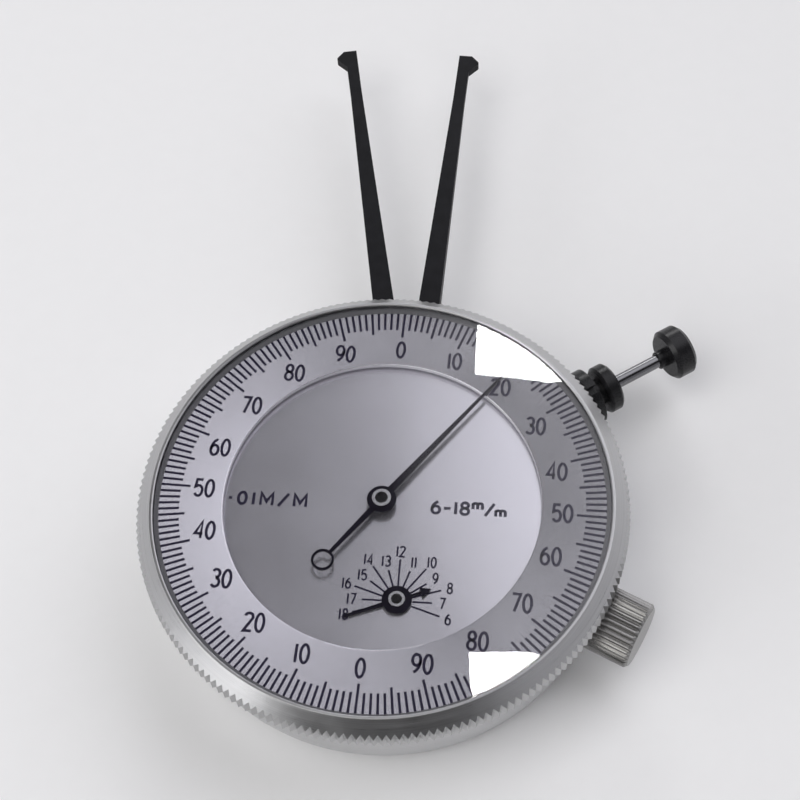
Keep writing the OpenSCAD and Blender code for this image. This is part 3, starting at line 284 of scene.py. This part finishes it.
def main_scale():
    """Ticks and numbers of the ring dial."""
    ticks, numbers = [], []
    for i in range(MAIN_DIVISIONS):
        turn = 360 / MAIN_DIVISIONS * i + MAIN_TURN
        kind = next(k for k in MAIN_TICK_IN if i % k == 0)
        ticks.append(([clock(MAIN_TICK_IN[kind], turn), clock(MAIN_TICK_OUT, turn)], MAIN_TICK_W))
        if kind == MAIN_LABEL_EVERY:
            middle = label_middle(clock(MAIN_TICK_IN[kind], turn))
            for s in text_strokes(str(i % MAIN_NUMBERED), MAIN_LABEL_H, MAIN_GAP):
                numbers.append(([middle + rotated(p, MAIN_TURN) for p in s], MAIN_STROKE))
    return [print_piece("main_ticks", "bezel", RING_TOP, ticks),
            print_piece("main_numbers", "bezel", RING_TOP, numbers)]


def counter_scale():
    """Lines and numbers round the small hand."""
    ticks, numbers = [], []
    for value in range(COUNTER_FIRST, COUNTER_LAST + 1):
        turn = (COUNTER_TOP - value) * COUNTER_STEP
        odd = value % 2
        ends = [COUNTER + clock(r, turn) for r in (COUNTER_TICK_IN, COUNTER_TICK_OUT[odd])]
        ticks.append((ends, COUNTER_TICK_W))
        middle = COUNTER + clock(COUNTER_LABEL_R[odd], turn)
        for s in text_strokes(str(value), COUNTER_LABEL_H, COUNTER_GAP):
            numbers.append(([middle + Vector(p) for p in s], COUNTER_STROKE))
    return [print_piece("counter_ticks", "case", DIAL_TOP, ticks),
            print_piece("counter_numbers", "case", DIAL_TOP, numbers)]


def words():
    """The unit at the left of the centre and the range at the right."""
    made = []
    for name, text, middle, gap in WORDS:
        letters = text_strokes(text, WORD_H, gap, WORD_STRETCH)
        strokes = [([middle + Vector(p) for p in s], WORD_STROKE) for s in letters]
        made.append(print_piece(name, "case", DIAL_TOP, strokes))
    return made


# Finishes

# Noise
NOISE_LOW, NOISE_HIGH = 0.3, 0.7  # where most of its values lie
NOISE_ROUGH = 0.55
DETAIL_SOFT, DETAIL_USUAL, DETAIL_FINE = 2.0, 3.0, 4.0

# Sockets of a colour mix
MIX_SHARE, MIX_FIRST, MIX_SECOND = 0, 6, 7
MIX_COLOR = 2

# Edges
EDGE_ROUND = 0.06 * MM
EDGE_SAMPLES = 6
WORN_SCALE = 2.2  # of the patches in the wear
WORN_PATCHES = (0.2, 1.6)  # how much least and most worn patches count
WORN_BEND = (0.04, 0.3)  # bend of the surface where wear begins and where it is full


class Finish:
    """A node material that is built up step by step."""

    def __init__(self, name):
        self.mat = bpy.data.materials.new(name)
        self.mat.use_nodes = True
        self.tree = self.mat.node_tree
        self.shader = self.tree.nodes["Principled BSDF"]

    def set(self, node, inputs):
        """Gives a node's sockets numbers, or links them to other nodes' outputs."""
        for key, value in inputs.items():
            if isinstance(value, bpy.types.NodeSocket):
                self.tree.links.new(value, node.inputs[key])
            else:
                node.inputs[key].default_value = value

    def node(self, kind, inputs=None, **settings):
        """A node of a kind, with its settings and its inputs."""
        made = self.tree.nodes.new("ShaderNode" + kind)
        for key, value in settings.items():
            setattr(made, key, value)
        self.set(made, inputs or {})
        return made

    def math(self, operation, *values):
        """A number from numbers."""
        return self.node("Math", dict(enumerate(values)), operation=operation).outputs[0]

    def vector(self, operation, *values, **named):
        """A vector from vectors."""
        inputs = {**dict(enumerate(values)), **named}
        return self.node("VectorMath", inputs, operation=operation).outputs[0]

    def place(self):
        """Where a point is on the gauge, in millimetres."""
        return self.vector("SCALE", self.node("TexCoord").outputs["Object"], Scale=1 / MM)

    def noise(self, vector, scale, detail=DETAIL_USUAL, rough=NOISE_ROUGH):
        """Noise that changes about scale times in each unit of the vector."""
        inputs = {"Vector": vector, "Scale": scale, "Detail": detail, "Roughness": rough}
        return self.node("TexNoise", inputs).outputs["Fac"]

    def lathe(self, lines, drift):
        """Noise along a turned surface: fine from groove to groove, slow along each groove."""
        xyz = self.node("SeparateXYZ", {0: self.place()}).outputs
        radius = self.math("SQRT", self.math("ADD", self.math("POWER", xyz[0], 2.0),
                                             self.math("POWER", xyz[1], 2.0)))
        angle = self.math("ARCTAN2", xyz[1], xyz[0])
        along = self.node("CombineXYZ", {0: self.math("MULTIPLY", radius, lines),
                                         1: self.math("MULTIPLY", xyz[2], lines),
                                         2: self.math("MULTIPLY", angle, drift)}).outputs[0]
        return self.noise(along, 1.0, DETAIL_SOFT)

    def brushed(self, stretch):
        """Noise drawn out along one axis; stretch is how fine it is along x, y and z."""
        return self.noise(self.vector("MULTIPLY", self.place(), stretch), 1.0)

    def spread(self, value, low, high, start=NOISE_LOW, end=NOISE_HIGH):
        """Maps the values from start to end to a range."""
        inputs = {"Value": value, "From Min": start, "From Max": end, "To Min": low, "To Max": high}
        return self.node("MapRange", inputs).outputs[0]

    def swing(self, value, middle, below, above):
        """A number that goes below and above its middle with a noise."""
        return self.spread(value, middle - below, middle + above)

    def mix(self, share, first, second):
        """A colour between two; each is a tone or another node's colour."""
        first, second = (c if isinstance(c, bpy.types.NodeSocket) else (*c, 1) for c in (first, second))
        inputs = {MIX_SHARE: share, MIX_FIRST: first, MIX_SECOND: second}
        return self.node("Mix", inputs, data_type="RGBA").outputs[MIX_COLOR]

    def mottle(self, value, dark, light):
        """Two tones that change with a noise."""
        return self.mix(self.spread(value, 0, 1), dark, light)

    def rounded(self, width):
        """The surface's normal with its edges rounded."""
        return self.node("Bevel", {"Radius": width}, samples=EDGE_SAMPLES).outputs[0]

    def bump(self, value, strength, depth, normal=None):
        """A normal that follows a height; without one given, it starts from the plain surface."""
        inputs = {"Height": value, "Strength": strength, "Distance": depth}
        if normal:
            inputs["Normal"] = normal
        return self.node("Bump", inputs).outputs[0]

    def worn_edges(self, width):
        """0 on a flat face, 1 along a worn edge."""
        plain = self.node("NewGeometry").outputs["Normal"]
        level = self.node("VectorMath", {0: self.rounded(width), 1: plain}, operation="DOT_PRODUCT")
        bend = self.math("SUBTRACT", 1.0, level.outputs["Value"])
        patches = self.spread(self.noise(self.place(), WORN_SCALE), *WORN_PATCHES)
        return self.spread(self.math("MULTIPLY", bend, patches), 0.0, 1.0, *WORN_BEND)

    def shade(self, **inputs):
        """Sets or links the shader's sockets, and hands the material over."""
        names = {key: key.replace("_", " ").title().replace("Ior", "IOR") for key in inputs}
        self.set(self.shader, {names[key]: value for key, value in inputs.items()})
        return self.mat


# Turned metal
TURNED_DRIFT = 1.2  # how fast a groove changes along its round
TURNED_CLOUD = 0.35  # scale of slow changes in gloss
CUT_SHARE, CLOUD_SHARE = 0.6, 0.4  # of the grooves and the slow changes in the gloss
TURNED_SWING = (0.07, 0.09)
TURNED_BUMP = 0.35


def turned_metal(name, dark, light, rough, lines, depth):
    """Aluminium from the lathe: concentric lines in tone, gloss and height."""
    look = Finish(name)
    cut = look.lathe(lines, TURNED_DRIFT)
    cloud = look.noise(look.place(), TURNED_CLOUD, DETAIL_SOFT)
    gloss = look.math("ADD", look.math("MULTIPLY", cut, CUT_SHARE),
                      look.math("MULTIPLY", cloud, CLOUD_SHARE))
    return look.shade(metallic=1.0,
                      base_color=look.mottle(cut, dark, light),
                      roughness=look.swing(gloss, rough, *TURNED_SWING),
                      normal=look.bump(cut, TURNED_BUMP, depth, look.rounded(EDGE_ROUND)))


# Brushed metal
HAIR_SWING = (0.06, 0.08)
HAIR_BUMP = 0.25
HAIR_DEPTH = 0.01 * MM


def brushed_metal(name, dark, light, rough, stretch):
    """Brass or steel drawn or brushed one way."""
    look = Finish(name)
    hair = look.brushed(stretch)
    return look.shade(metallic=1.0,
                      base_color=look.mottle(hair, dark, light),
                      roughness=look.swing(hair, rough, *HAIR_SWING),
                      normal=look.bump(hair, HAIR_BUMP, HAIR_DEPTH, look.rounded(EDGE_ROUND)))


# Fluted metal, with painted shade in its grooves
GROOVE_SHADE_REACH = 0.6 * MM  # how far walls are looked for
GROOVE_SHADE_SAMPLES = 8
GROOVE_OPEN, RIDGE_OPEN = 0.5, 0.95  # open share of the surroundings in a groove and on a ridge
FLUTED_GRAIN = (9, 9, 9)


def fluted_metal(name, groove, ridge, rough):
    """Nickel of the knob, with painted shade in its grooves: its colour goes from the groove tone to the ridge
    tone as ambient occlusion opens.
    """
    look = Finish(name)
    hair = look.brushed(FLUTED_GRAIN)
    # Painted shade: ambient occlusion darkens the base colour in the grooves
    walls = look.node("AmbientOcclusion", {"Distance": GROOVE_SHADE_REACH},
                      samples=GROOVE_SHADE_SAMPLES, only_local=True)
    height = look.spread(walls.outputs["AO"], 0, 1, GROOVE_OPEN, RIDGE_OPEN)
    return look.shade(metallic=1.0,
                      base_color=look.mix(height, groove, ridge),
                      roughness=look.swing(hair, rough, *HAIR_SWING),
                      normal=look.bump(hair, HAIR_BUMP, HAIR_DEPTH, look.rounded(EDGE_ROUND)))


# Black metal
BLACK_GRAIN = 9.0
BLACK_CLOUD = 0.6  # scale of the mottling
BLACK_LIGHTER = 1.6  # light mottling against dark
BLACK_SWING = (0.08, 0.1)
BLACK_BUMP = 0.3
BLACK_DEPTH = 0.006 * MM
WORN_WIDTH = 0.09 * MM
WORN_SHARE = 0.5  # of bare metal where wear is full


def black_metal(name, color, worn, rough, shine):
    """Blackened steel: satin, faintly mottled, rubbed bright along its edges."""
    look = Finish(name)
    fine = look.noise(look.place(), BLACK_GRAIN, DETAIL_FINE)
    broad = look.noise(look.place(), BLACK_CLOUD, DETAIL_SOFT)
    rubbed = look.math("MULTIPLY", look.worn_edges(WORN_WIDTH), WORN_SHARE)
    ground = look.mottle(broad, color, [BLACK_LIGHTER * c for c in color])
    return look.shade(specular_ior_level=shine,
                      base_color=look.mix(rubbed, ground, worn),
                      roughness=look.swing(fine, rough, *BLACK_SWING),
                      normal=look.bump(fine, BLACK_BUMP, BLACK_DEPTH, look.rounded(EDGE_ROUND)))


# Dials
DIAL_DARK, DIAL_LIGHT = (0.665, 0.655, 0.7), (0.735, 0.725, 0.765)
DIAL_GRAIN = 22.0
DIAL_GRAIN_ROUGH = 0.7
DIAL_BUMP = 0.12
DIAL_DEPTH = 0.004 * MM
DIAL_CLOUD = 0.12  # scale of slow changes in gloss
DIAL_LEVEL = (0.6, 0.9)  # height of the normal where an edge ends and where the face is full
DIAL_ROUGH = (0.235, 0.265)
EDGE_ROUGH = 0.75
DIAL_EDGE = 0.2 * MM  # rounding of the edges
DIAL_METAL = 0.88  # the face's share of metal; the rest is plain silver paint


def dial_metal(name, dish):
    """Satin silver of the dials, dull on their edges; dish is how far the face leans in, in degrees."""
    look = Finish(name)
    grain = look.noise(look.place(), DIAL_GRAIN, rough=DIAL_GRAIN_ROUGH)
    cloud = look.noise(look.place(), DIAL_CLOUD, DETAIL_SOFT)
    level = look.node("SeparateXYZ", {0: look.node("NewGeometry").outputs["Normal"]}).outputs[2]
    face = look.spread(level, 0.0, 1.0, *DIAL_LEVEL)
    normal = look.rounded(DIAL_EDGE)
    if dish:
        outward = look.vector("NORMALIZE", look.vector("MULTIPLY", look.place(), (1, 1, 0)))
        lean = look.vector("SCALE", outward, Scale=-sin(radians(dish)))
        placed = look.node("VectorTransform", {0: lean}, convert_from="OBJECT", convert_to="WORLD")
        normal = look.vector("NORMALIZE", look.vector("ADD", normal, placed.outputs[0]))
    return look.shade(base_color=look.mottle(grain, DIAL_DARK, DIAL_LIGHT),
                      metallic=look.math("MULTIPLY", face, DIAL_METAL),
                      roughness=look.spread(face, EDGE_ROUGH, look.spread(cloud, *DIAL_ROUGH), 0.0, 1.0),
                      normal=look.bump(grain, DIAL_BUMP, DIAL_DEPTH, normal))


# Hubs, with painted shade in their dimples
HUB_DIMPLE_SHADE, HUB_BRIGHT = (0.06, 0.06, 0.062), (0.84, 0.84, 0.85)
HUB_DIMPLE, HUB_RIM = 0.6, 0.72  # shares of the radius where the dimple ends and the rim begins
HUB_ROUGH = (0.14, 0.26)
HUB_GRAIN = 14.0
HUB_BUMP = 0.2
HUB_DEPTH = 0.006 * MM


def hub_metal(name):
    """Polished nickel of the hands' hubs, with painted shade in the dimple at the middle, where the colour goes
    dark.
    """
    look = Finish(name)
    # The hub's own box goes from 0 to 1, and its middle is wanted at 0 and its rim at 1
    across = look.vector("SUBTRACT", look.node("TexCoord").outputs["Generated"], (0.5, 0.5, 0))
    flat = look.vector("MULTIPLY", across, (2, 2, 0))
    radius = look.node("VectorMath", {0: flat}, operation="LENGTH").outputs["Value"]
    fine = look.noise(look.place(), HUB_GRAIN)
    # Painted shade: the colour is dark inside the dimple and bright from the rim outward
    rim = look.spread(radius, 0.0, 1.0, HUB_DIMPLE, HUB_RIM)
    return look.shade(metallic=1.0,
                      base_color=look.mix(rim, HUB_DIMPLE_SHADE, HUB_BRIGHT),
                      roughness=look.spread(fine, *HUB_ROUGH),
                      normal=look.bump(fine, HUB_BUMP, HUB_DEPTH))


def speckled(name, dark, light, rough, shine, grain, strength, depth):
    """Something dull with fine specks, such as ink or rubber."""
    look = Finish(name)
    speck = look.noise(look.place(), grain)
    return look.shade(specular_ior_level=shine,
                      base_color=look.mottle(speck, dark, light),
                      roughness=look.spread(speck, *rough),
                      normal=look.bump(speck, strength, depth))


# Crystal's glass
CRYSTAL_GLOSS = 0.014  # share of the light that it throws back face on
CRYSTAL_RIM = 0.9  # what a slanting view adds to that
CRYSTAL_RIM_POWER = 5.0
CRYSTAL_BLEND = 0.5
CRYSTAL_ROUGH = 0.015
CRYSTAL_TINT = (0.985, 0.985, 0.99)


def clear(name):
    """Clear crystal: see-through, with a reflection that grows towards the rim."""
    look = Finish(name)
    facing = look.node("LayerWeight", {"Blend": CRYSTAL_BLEND}).outputs["Facing"]
    slant = look.math("MULTIPLY", look.math("POWER", facing, CRYSTAL_RIM_POWER), CRYSTAL_RIM)
    share = look.math("ADD", slant, CRYSTAL_GLOSS)
    through = look.node("BsdfTransparent", {"Color": (*CRYSTAL_TINT, 1)}).outputs[0]
    gloss = look.node("BsdfGlossy", {"Color": (*WHITE, 1), "Roughness": CRYSTAL_ROUGH}).outputs[0]
    mixed = look.node("MixShader", {0: share, 1: through, 2: gloss}).outputs[0]
    look.tree.links.new(mixed, look.tree.nodes["Material Output"].inputs["Surface"])
    look.tree.nodes.remove(look.shader)
    return look.mat


FINISHES = {
    "case_aluminium": turned_metal("case_aluminium", dark=(0.56, 0.56, 0.57), light=(0.68, 0.68, 0.69),
                                   rough=0.36, lines=14, depth=0.01 * MM),
    "bezel_aluminium": turned_metal("bezel_aluminium", dark=(0.46, 0.46, 0.465), light=(0.55, 0.55, 0.555),
                                    rough=0.32, lines=18, depth=0.008 * MM),
    "movement_brass": brushed_metal("movement_brass", dark=(0.68, 0.5, 0.22), light=(0.82, 0.64, 0.32),
                                    rough=0.32, stretch=(1.2, 22, 22)),
    "bright_steel": brushed_metal("bright_steel", dark=(0.58, 0.58, 0.59), light=(0.74, 0.74, 0.75),
                                  rough=0.2, stretch=(14, 14, 14)),
    "black_oxide": black_metal("black_oxide", color=(0.007, 0.007, 0.0085), worn=(0.1, 0.1, 0.1),
                               rough=0.44, shine=0.12),
    "dial_silver": dial_metal("dial_silver", dish=0),
    "hand_black": black_metal("hand_black", color=(0.007, 0.006, 0.011), worn=(0.05, 0.05, 0.06),
                              rough=0.4, shine=0.08),
    "hub_nickel": hub_metal("hub_nickel"),
    # The knob's groove tone is painted shade; its ridge tone is the nickel's own colour
    "knob_nickel": fluted_metal("knob_nickel", groove=(0.09, 0.086, 0.082), ridge=(0.3, 0.296, 0.29),
                                rough=0.3),
    "gasket_rubber": speckled("gasket_rubber", dark=(0.11, 0.11, 0.117), light=(0.15, 0.15, 0.158),
                              rough=(0.5, 0.68), shine=0.2, grain=8.0, strength=0.2, depth=0.004 * MM),
    "crystal_clear": clear("crystal_clear"),
}
BLACK_GLOSS = black_metal("black_gloss", color=(0.009, 0.009, 0.01), worn=(0.1, 0.1, 0.1),
                          rough=0.27, shine=0.28)

# Nodes that look unlike the rest of their slot
OWN_FINISHES = {
    "ring_dial": dial_metal("ring_silver", dish=5.5),
    "plunger_rod": brushed_metal("rod_steel", dark=(0.15, 0.15, 0.155), light=(0.24, 0.24, 0.25),
                                 rough=0.16, stretch=(14, 14, 14)),
    "plunger_button": BLACK_GLOSS,
    "plunger_guide": BLACK_GLOSS,
    "guide_lock_nut": BLACK_GLOSS,
}
DIAL_INK = speckled("dial_ink", dark=(0.016, 0.014, 0.03), light=(0.034, 0.03, 0.055),
                    rough=(0.42, 0.58), shine=0.1, grain=6.0, strength=0.1, depth=0.003 * MM)


def dress():
    """Gives every node its own finish or that of its slot, and prints the dials."""
    for part in frame["record"]["subparts"]:
        name = part["node"]
        finish = OWN_FINISHES.get(name) or FINISHES[part["material_slot"]]
        nodes[name].data.materials.clear()
        nodes[name].data.materials.append(finish)
    for piece in (*main_scale(), *counter_scale(), *words()):
        piece.data.materials.append(DIAL_INK)


# Finer meshes of the crystal and the knob

# Crystal's shape
CRYSTAL_T = 0.4 * MM
DOME_RISE = 1.9 * MM
DOME_EDGE = 23.95 * MM  # radius where the dome ends
HOLLOW_EDGE = 23.52 * MM  # radius where its hollow ends
DOME_R = (DOME_EDGE ** 2 + DOME_RISE ** 2) / (2 * DOME_RISE)
CRYSTAL_ROUND = 240
CRYSTAL_ACROSS = 20
CRYSTAL_SHARP = 6  # least angle of a sharp edge, in degrees

# Knob's shape
KNOB_FLUTES = 36
FLUTE_STEPS = 10  # points round each flute
FLUTE_DEPTH = 0.26 * MM
KNOB_EDGE = 0.35 * MM  # chamfer at both ends
KNOB_BORE_R = 1.27 * MM  # bore for the spindle
KNOB_BORE_DEPTH = 2.9 * MM
KNOB_SHARP = 35  # least angle of a sharp edge, in degrees


def dome_profile(edge, top):
    """(radius, height) points of a dome from its middle to its edge."""
    radii = [edge * i / CRYSTAL_ACROSS for i in range(CRYSTAL_ACROSS + 1)]
    return [(r, top - DOME_R + sqrt(DOME_R ** 2 - r ** 2)) for r in radii]


def ring_skin(first, rings, last, sharp):
    """A closed bmesh over rings of points, with a middle point at each end; sharp is in degrees."""
    bm = bmesh.new()
    poles = [bm.verts.new(first), bm.verts.new(last)]
    rows = [[bm.verts.new(p) for p in ring] for ring in rings]
    count = len(rows[0])
    for i in range(count):
        after = (i + 1) % count
        bm.faces.new((poles[0], rows[0][after], rows[0][i]))
        bm.faces.new((poles[1], rows[-1][i], rows[-1][after]))
        for inner, outer in zip(rows, rows[1:]):
            bm.faces.new((inner[i], inner[after], outer[after], outer[i]))
    bmesh.ops.recalc_face_normals(bm, faces=bm.faces)
    for face in bm.faces:
        face.smooth = True
    for edge in bm.edges:
        edge.smooth = edge.calc_face_angle(0) < radians(sharp)
    return bm


def crystal_piece():
    """The domed crystal, finer than the node it stands for."""
    low, foot = crystal_low.z, crystal_high.x
    shell = [*dome_profile(DOME_EDGE, low + CRYSTAL_T + DOME_RISE), (foot, low + CRYSTAL_T), (foot, low),
             (HOLLOW_EDGE, low), *reversed(dome_profile(HOLLOW_EDGE, low + DOME_RISE))]
    turns = [360 * i / CRYSTAL_ROUND for i in range(CRYSTAL_ROUND)]
    rings = [[(*clock(r, turn), z) for turn in turns] for r, z in shell[1:-1]]
    bm = ring_skin((0, 0, shell[0][1]), rings, (0, 0, shell[-1][1]), CRYSTAL_SHARP)
    piece = new_piece("crystal_dome", bm, "bezel")
    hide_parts("crystal")
    piece.data.materials.append(FINISHES["crystal_clear"])
    return piece


def knob_piece():
    """The clamp's knob, with finer flutes than the node it stands for."""
    joint = next(j for j in frame["joints"] if j["name"] == "clamp_turn")
    axis, pivot = Vector(joint["axis"]).normalized(), Vector(joint["pos_m"])
    side = UP.cross(axis)
    corners = [v.co - pivot for v in nodes["clamp_knob"].data.vertices]
    reaches = [axis.dot(c) for c in corners]
    full_r = max((c - axis * a).length for c, a in zip(corners, reaches))
    start = pivot + axis * min(reaches)
    length = max(reaches) - min(reaches)
    count = KNOB_FLUTES * FLUTE_STEPS

    def ring(along, reach):
        """Points round the knob: its fluted outline, where that is within reach of the axis."""
        points = []
        for i in range(count):
            r = min(reach, full_r - FLUTE_DEPTH * sin(pi * i / FLUTE_STEPS) ** 2)
            turn = 2 * pi * i / count
            points.append(start + axis * along + (side * cos(turn) + UP * sin(turn)) * r)
        return points

    half = KNOB_EDGE / 2
    rings = [ring(KNOB_BORE_DEPTH, KNOB_BORE_R), ring(0, KNOB_BORE_R), ring(0, full_r - KNOB_EDGE),
             ring(half, full_r - half), ring(KNOB_EDGE, full_r), ring(length - KNOB_EDGE, full_r),
             ring(length - half, full_r - half), ring(length, full_r - KNOB_EDGE)]
    bm = ring_skin(start + axis * KNOB_BORE_DEPTH, rings, start + axis * length, KNOB_SHARP)
    piece = new_piece("knob_fluted", bm, "clamp")
    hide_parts("clamp_knob")
    piece.data.materials.append(FINISHES["knob_nickel"])


dress()
crystal = crystal_piece()
knob_piece()


# Camera

def make_camera():
    """The camera at the photograph's viewing angle."""
    data = bpy.data.cameras.new("camera")
    data.lens, data.sensor_width = LENS, SENSOR
    data.clip_start, data.clip_end = CLIP_NEAR, CLIP_FAR
    made = bpy.data.objects.new("camera", data)
    made.rotation_mode = "QUATERNION"
    made.location = CAMERA_AT
    level = (CAMERA_TARGET - CAMERA_AT).to_track_quat("-Z", "Y")
    made.rotation_quaternion = level @ Quaternion((0, 0, 1), CAMERA_ROLL)
    bpy.context.scene.collection.objects.link(made)
    bpy.context.scene.camera = made
    return made


camera = make_camera()


# Studio

# Floor
FLOOR_HALF = 4.0  # half its side, in metres
FLOOR_DARK, FLOOR_LIGHT = (0.88, 0.88, 0.882), (0.9, 0.9, 0.902)
FLOOR_ROUGH = 0.8
FLOOR_FIBRE = 0.4


def make_floor():
    """A pale sheet of paper under the gauge."""
    mesh = bpy.data.meshes.new("floor")
    sides = ((-1, -1), (1, -1), (1, 1), (-1, 1))
    corners = [(x * FLOOR_HALF, y * FLOOR_HALF, cad_box[0].z) for x, y in sides]
    mesh.from_pydata(corners, [], [(0, 1, 2, 3)])
    floor = bpy.data.objects.new("floor", mesh)
    look = Finish("floor_paper")
    fibre = look.noise(look.place(), FLOOR_FIBRE)
    paper = look.shade(base_color=look.mix(fibre, FLOOR_DARK, FLOOR_LIGHT), roughness=FLOOR_ROUGH)
    mesh.materials.append(paper)
    bpy.context.scene.collection.objects.link(floor)


def towards(turn, rise):
    """Direction from the dial: turn degrees clockwise from 12 o'clock, rise degrees above it."""
    return Vector((*clock(cos(radians(rise)), turn), sin(radians(rise))))


# A great soft light in the sky
SKY_WAY = (44, 43.4)  # clock turn and rise of its middle
SKY_EDGE = (0.803, 0.868)  # cosines from its middle where it ends and where it is full
SKY_DARK, SKY_BRIGHT = 0.03, 1.56
SKY_TINT = (0.955, 0.95, 1.0)

# A band of light round the horizon
BAND_EDGE = (0.64, 0.42)  # heights where it ends and where it is full
BAND_FRONT = (-0.88, -0.55)  # the same for its gap in front, along y
BAND_GLOW = 0.5


def make_world():
    """The sky's light and the band round the horizon."""
    world = bpy.data.worlds.new("studio")
    world.use_nodes = True
    tree = world.node_tree
    way = tree.nodes.new("ShaderNodeTexCoord").outputs["Generated"]

    def node(kind, operation, *values):
        """A node that reckons with numbers or other nodes' outputs."""
        made = tree.nodes.new("ShaderNode" + kind)
        made.operation = operation
        for socket, value in zip(made.inputs, values):
            if isinstance(value, bpy.types.NodeSocket):
                tree.links.new(value, socket)
            else:
                socket.default_value = value
        return made

    def ramp(value, edge, low, high):
        """A smooth step from low to high between the two ends of an edge."""
        made = tree.nodes.new("ShaderNodeMapRange")
        made.interpolation_type = "SMOOTHSTEP"
        tree.links.new(value, made.inputs["Value"])
        for key, number in zip(("From Min", "From Max", "To Min", "To Max"), (*edge, low, high)):
            made.inputs[key].default_value = number
        return made.outputs[0]

    parts = tree.nodes.new("ShaderNodeSeparateXYZ")
    tree.links.new(way, parts.inputs[0])
    near = node("VectorMath", "DOT_PRODUCT", way, towards(*SKY_WAY)).outputs["Value"]
    band = node("Math", "MULTIPLY", ramp(parts.outputs[2], BAND_EDGE, 0, BAND_GLOW),
                ramp(parts.outputs[1], BAND_FRONT, 0, 1)).outputs[0]
    glow = node("Math", "MAXIMUM", ramp(near, SKY_EDGE, SKY_DARK, SKY_BRIGHT), band).outputs[0]
    sky = tree.nodes["Background"]
    tree.links.new(glow, sky.inputs["Strength"])
    sky.inputs["Color"].default_value = (*SKY_TINT, 1)
    bpy.context.scene.world = world


def panel(name, at, target, side, width, height, glow, color):
    """A rectangular lamp that faces the target; side is the way its width runs, glow its radiance."""
    data = bpy.data.lights.new(name, "AREA")
    data.shape = "RECTANGLE"
    data.size, data.size_y = width, height
    data.color = color
    data.energy = glow * pi * width * height
    lamp = bpy.data.objects.new(name, data)
    back = (at - target).normalized()
    across = (side - back * side.dot(back)).normalized()
    up = back.cross(across)
    turn = Matrix((across, up, back)).transposed()
    lamp.matrix_world = Matrix.Translation(at) @ turn.to_4x4()
    lamp.visible_camera = False
    bpy.context.scene.collection.objects.link(lamp)
    return lamp


def show_in_crystal(lamp, state):
    """With INCLUDE the lamp shows in the crystal and lights nothing else, with EXCLUDE the reverse."""
    linked = bpy.data.collections.new(f"{lamp.name}_crystal")
    linked.objects.link(crystal)
    linked.collection_objects[0].light_linking.link_state = state
    lamp.light_linking.receiver_collection = linked


# The middle of the crystal's ball, for lamps that are placed by where they show in it
DOME_CENTRE = Vector((0, 0, crystal_high.z - DOME_R))

# Two windows that show in the crystal: their sides in the image, in pixels, and their fall to the right
GLARES = (
    {"left": 476, "top": 328, "right": 562, "bottom": 378, "fall": 0.12},
    {"left": 470, "top": 652, "right": 556, "bottom": 705, "fall": 0.0},
)
GLARE_AWAY = 0.6  # from the crystal, in metres
GLARE_GLOW = 80


def mirrored(u, v):
    """(point on the dome, way on from it) of the camera's ray through an image point."""
    focal = LENS / SENSOR * IMAGE_SIDE
    half = IMAGE_SIDE / 2
    ray = camera.rotation_quaternion @ Vector(((u - half) / focal, (half - v) / focal, -1)).normalized()
    start = CAMERA_AT - DOME_CENTRE
    b = ray.dot(start)
    reach = -b - sqrt(b * b - start.length_squared + DOME_R ** 2)
    hit = CAMERA_AT + ray * reach
    normal = (hit - DOME_CENTRE).normalized()
    return hit, ray - normal * 2 * ray.dot(normal)


def make_glare(name, left, top, right, bottom, fall):
    """A lamp that the crystal mirrors into a window's place in the image."""
    across, down = (left + right) / 2, (top + bottom) / 2
    drop = fall * (right - left) / 2
    points = [hit + way * GLARE_AWAY for hit, way in
              (mirrored(left, down - drop), mirrored(right, down + drop),
               mirrored(across, top), mirrored(across, bottom))]
    at = (points[0] + points[1]) / 2
    side = points[1] - points[0]
    rise = points[3] - points[2]
    lamp = panel(name, at, DIAL_CENTRE, side, side.length, rise.length, GLARE_GLOW, WHITE)
    show_in_crystal(lamp, "INCLUDE")


# Lamps: name, clock turn, rise, distance, width, height, glow, colour
LAMPS = (
    ("shade_key", -6, 24, 0.7, 0.22, 0.16, 5.0, WHITE),
    ("front_fill", 225, 62, 1.0, 0.9, 0.8, 2.3, (1, 0.99, 0.98)),
    ("left_strip", 238, 22, 0.8, 0.5, 0.2, 4.0, WHITE),
)


def make_lights():
    """The sky, the lamps that light all but the crystal, and the windows that show in it."""
    make_world()
    for name, turn, rise, away, width, height, glow, color in LAMPS:
        way = towards(turn, rise)
        side = UP.cross(way)
        lamp = panel(name, DIAL_CENTRE + way * away, DIAL_CENTRE, side, width, height, glow, color)
        show_in_crystal(lamp, "EXCLUDE")
    for index, window in enumerate(GLARES):
        make_glare(f"window_{index}", **window)


make_floor()
make_lights()
bpy.context.scene.view_settings.view_transform = "Standard"
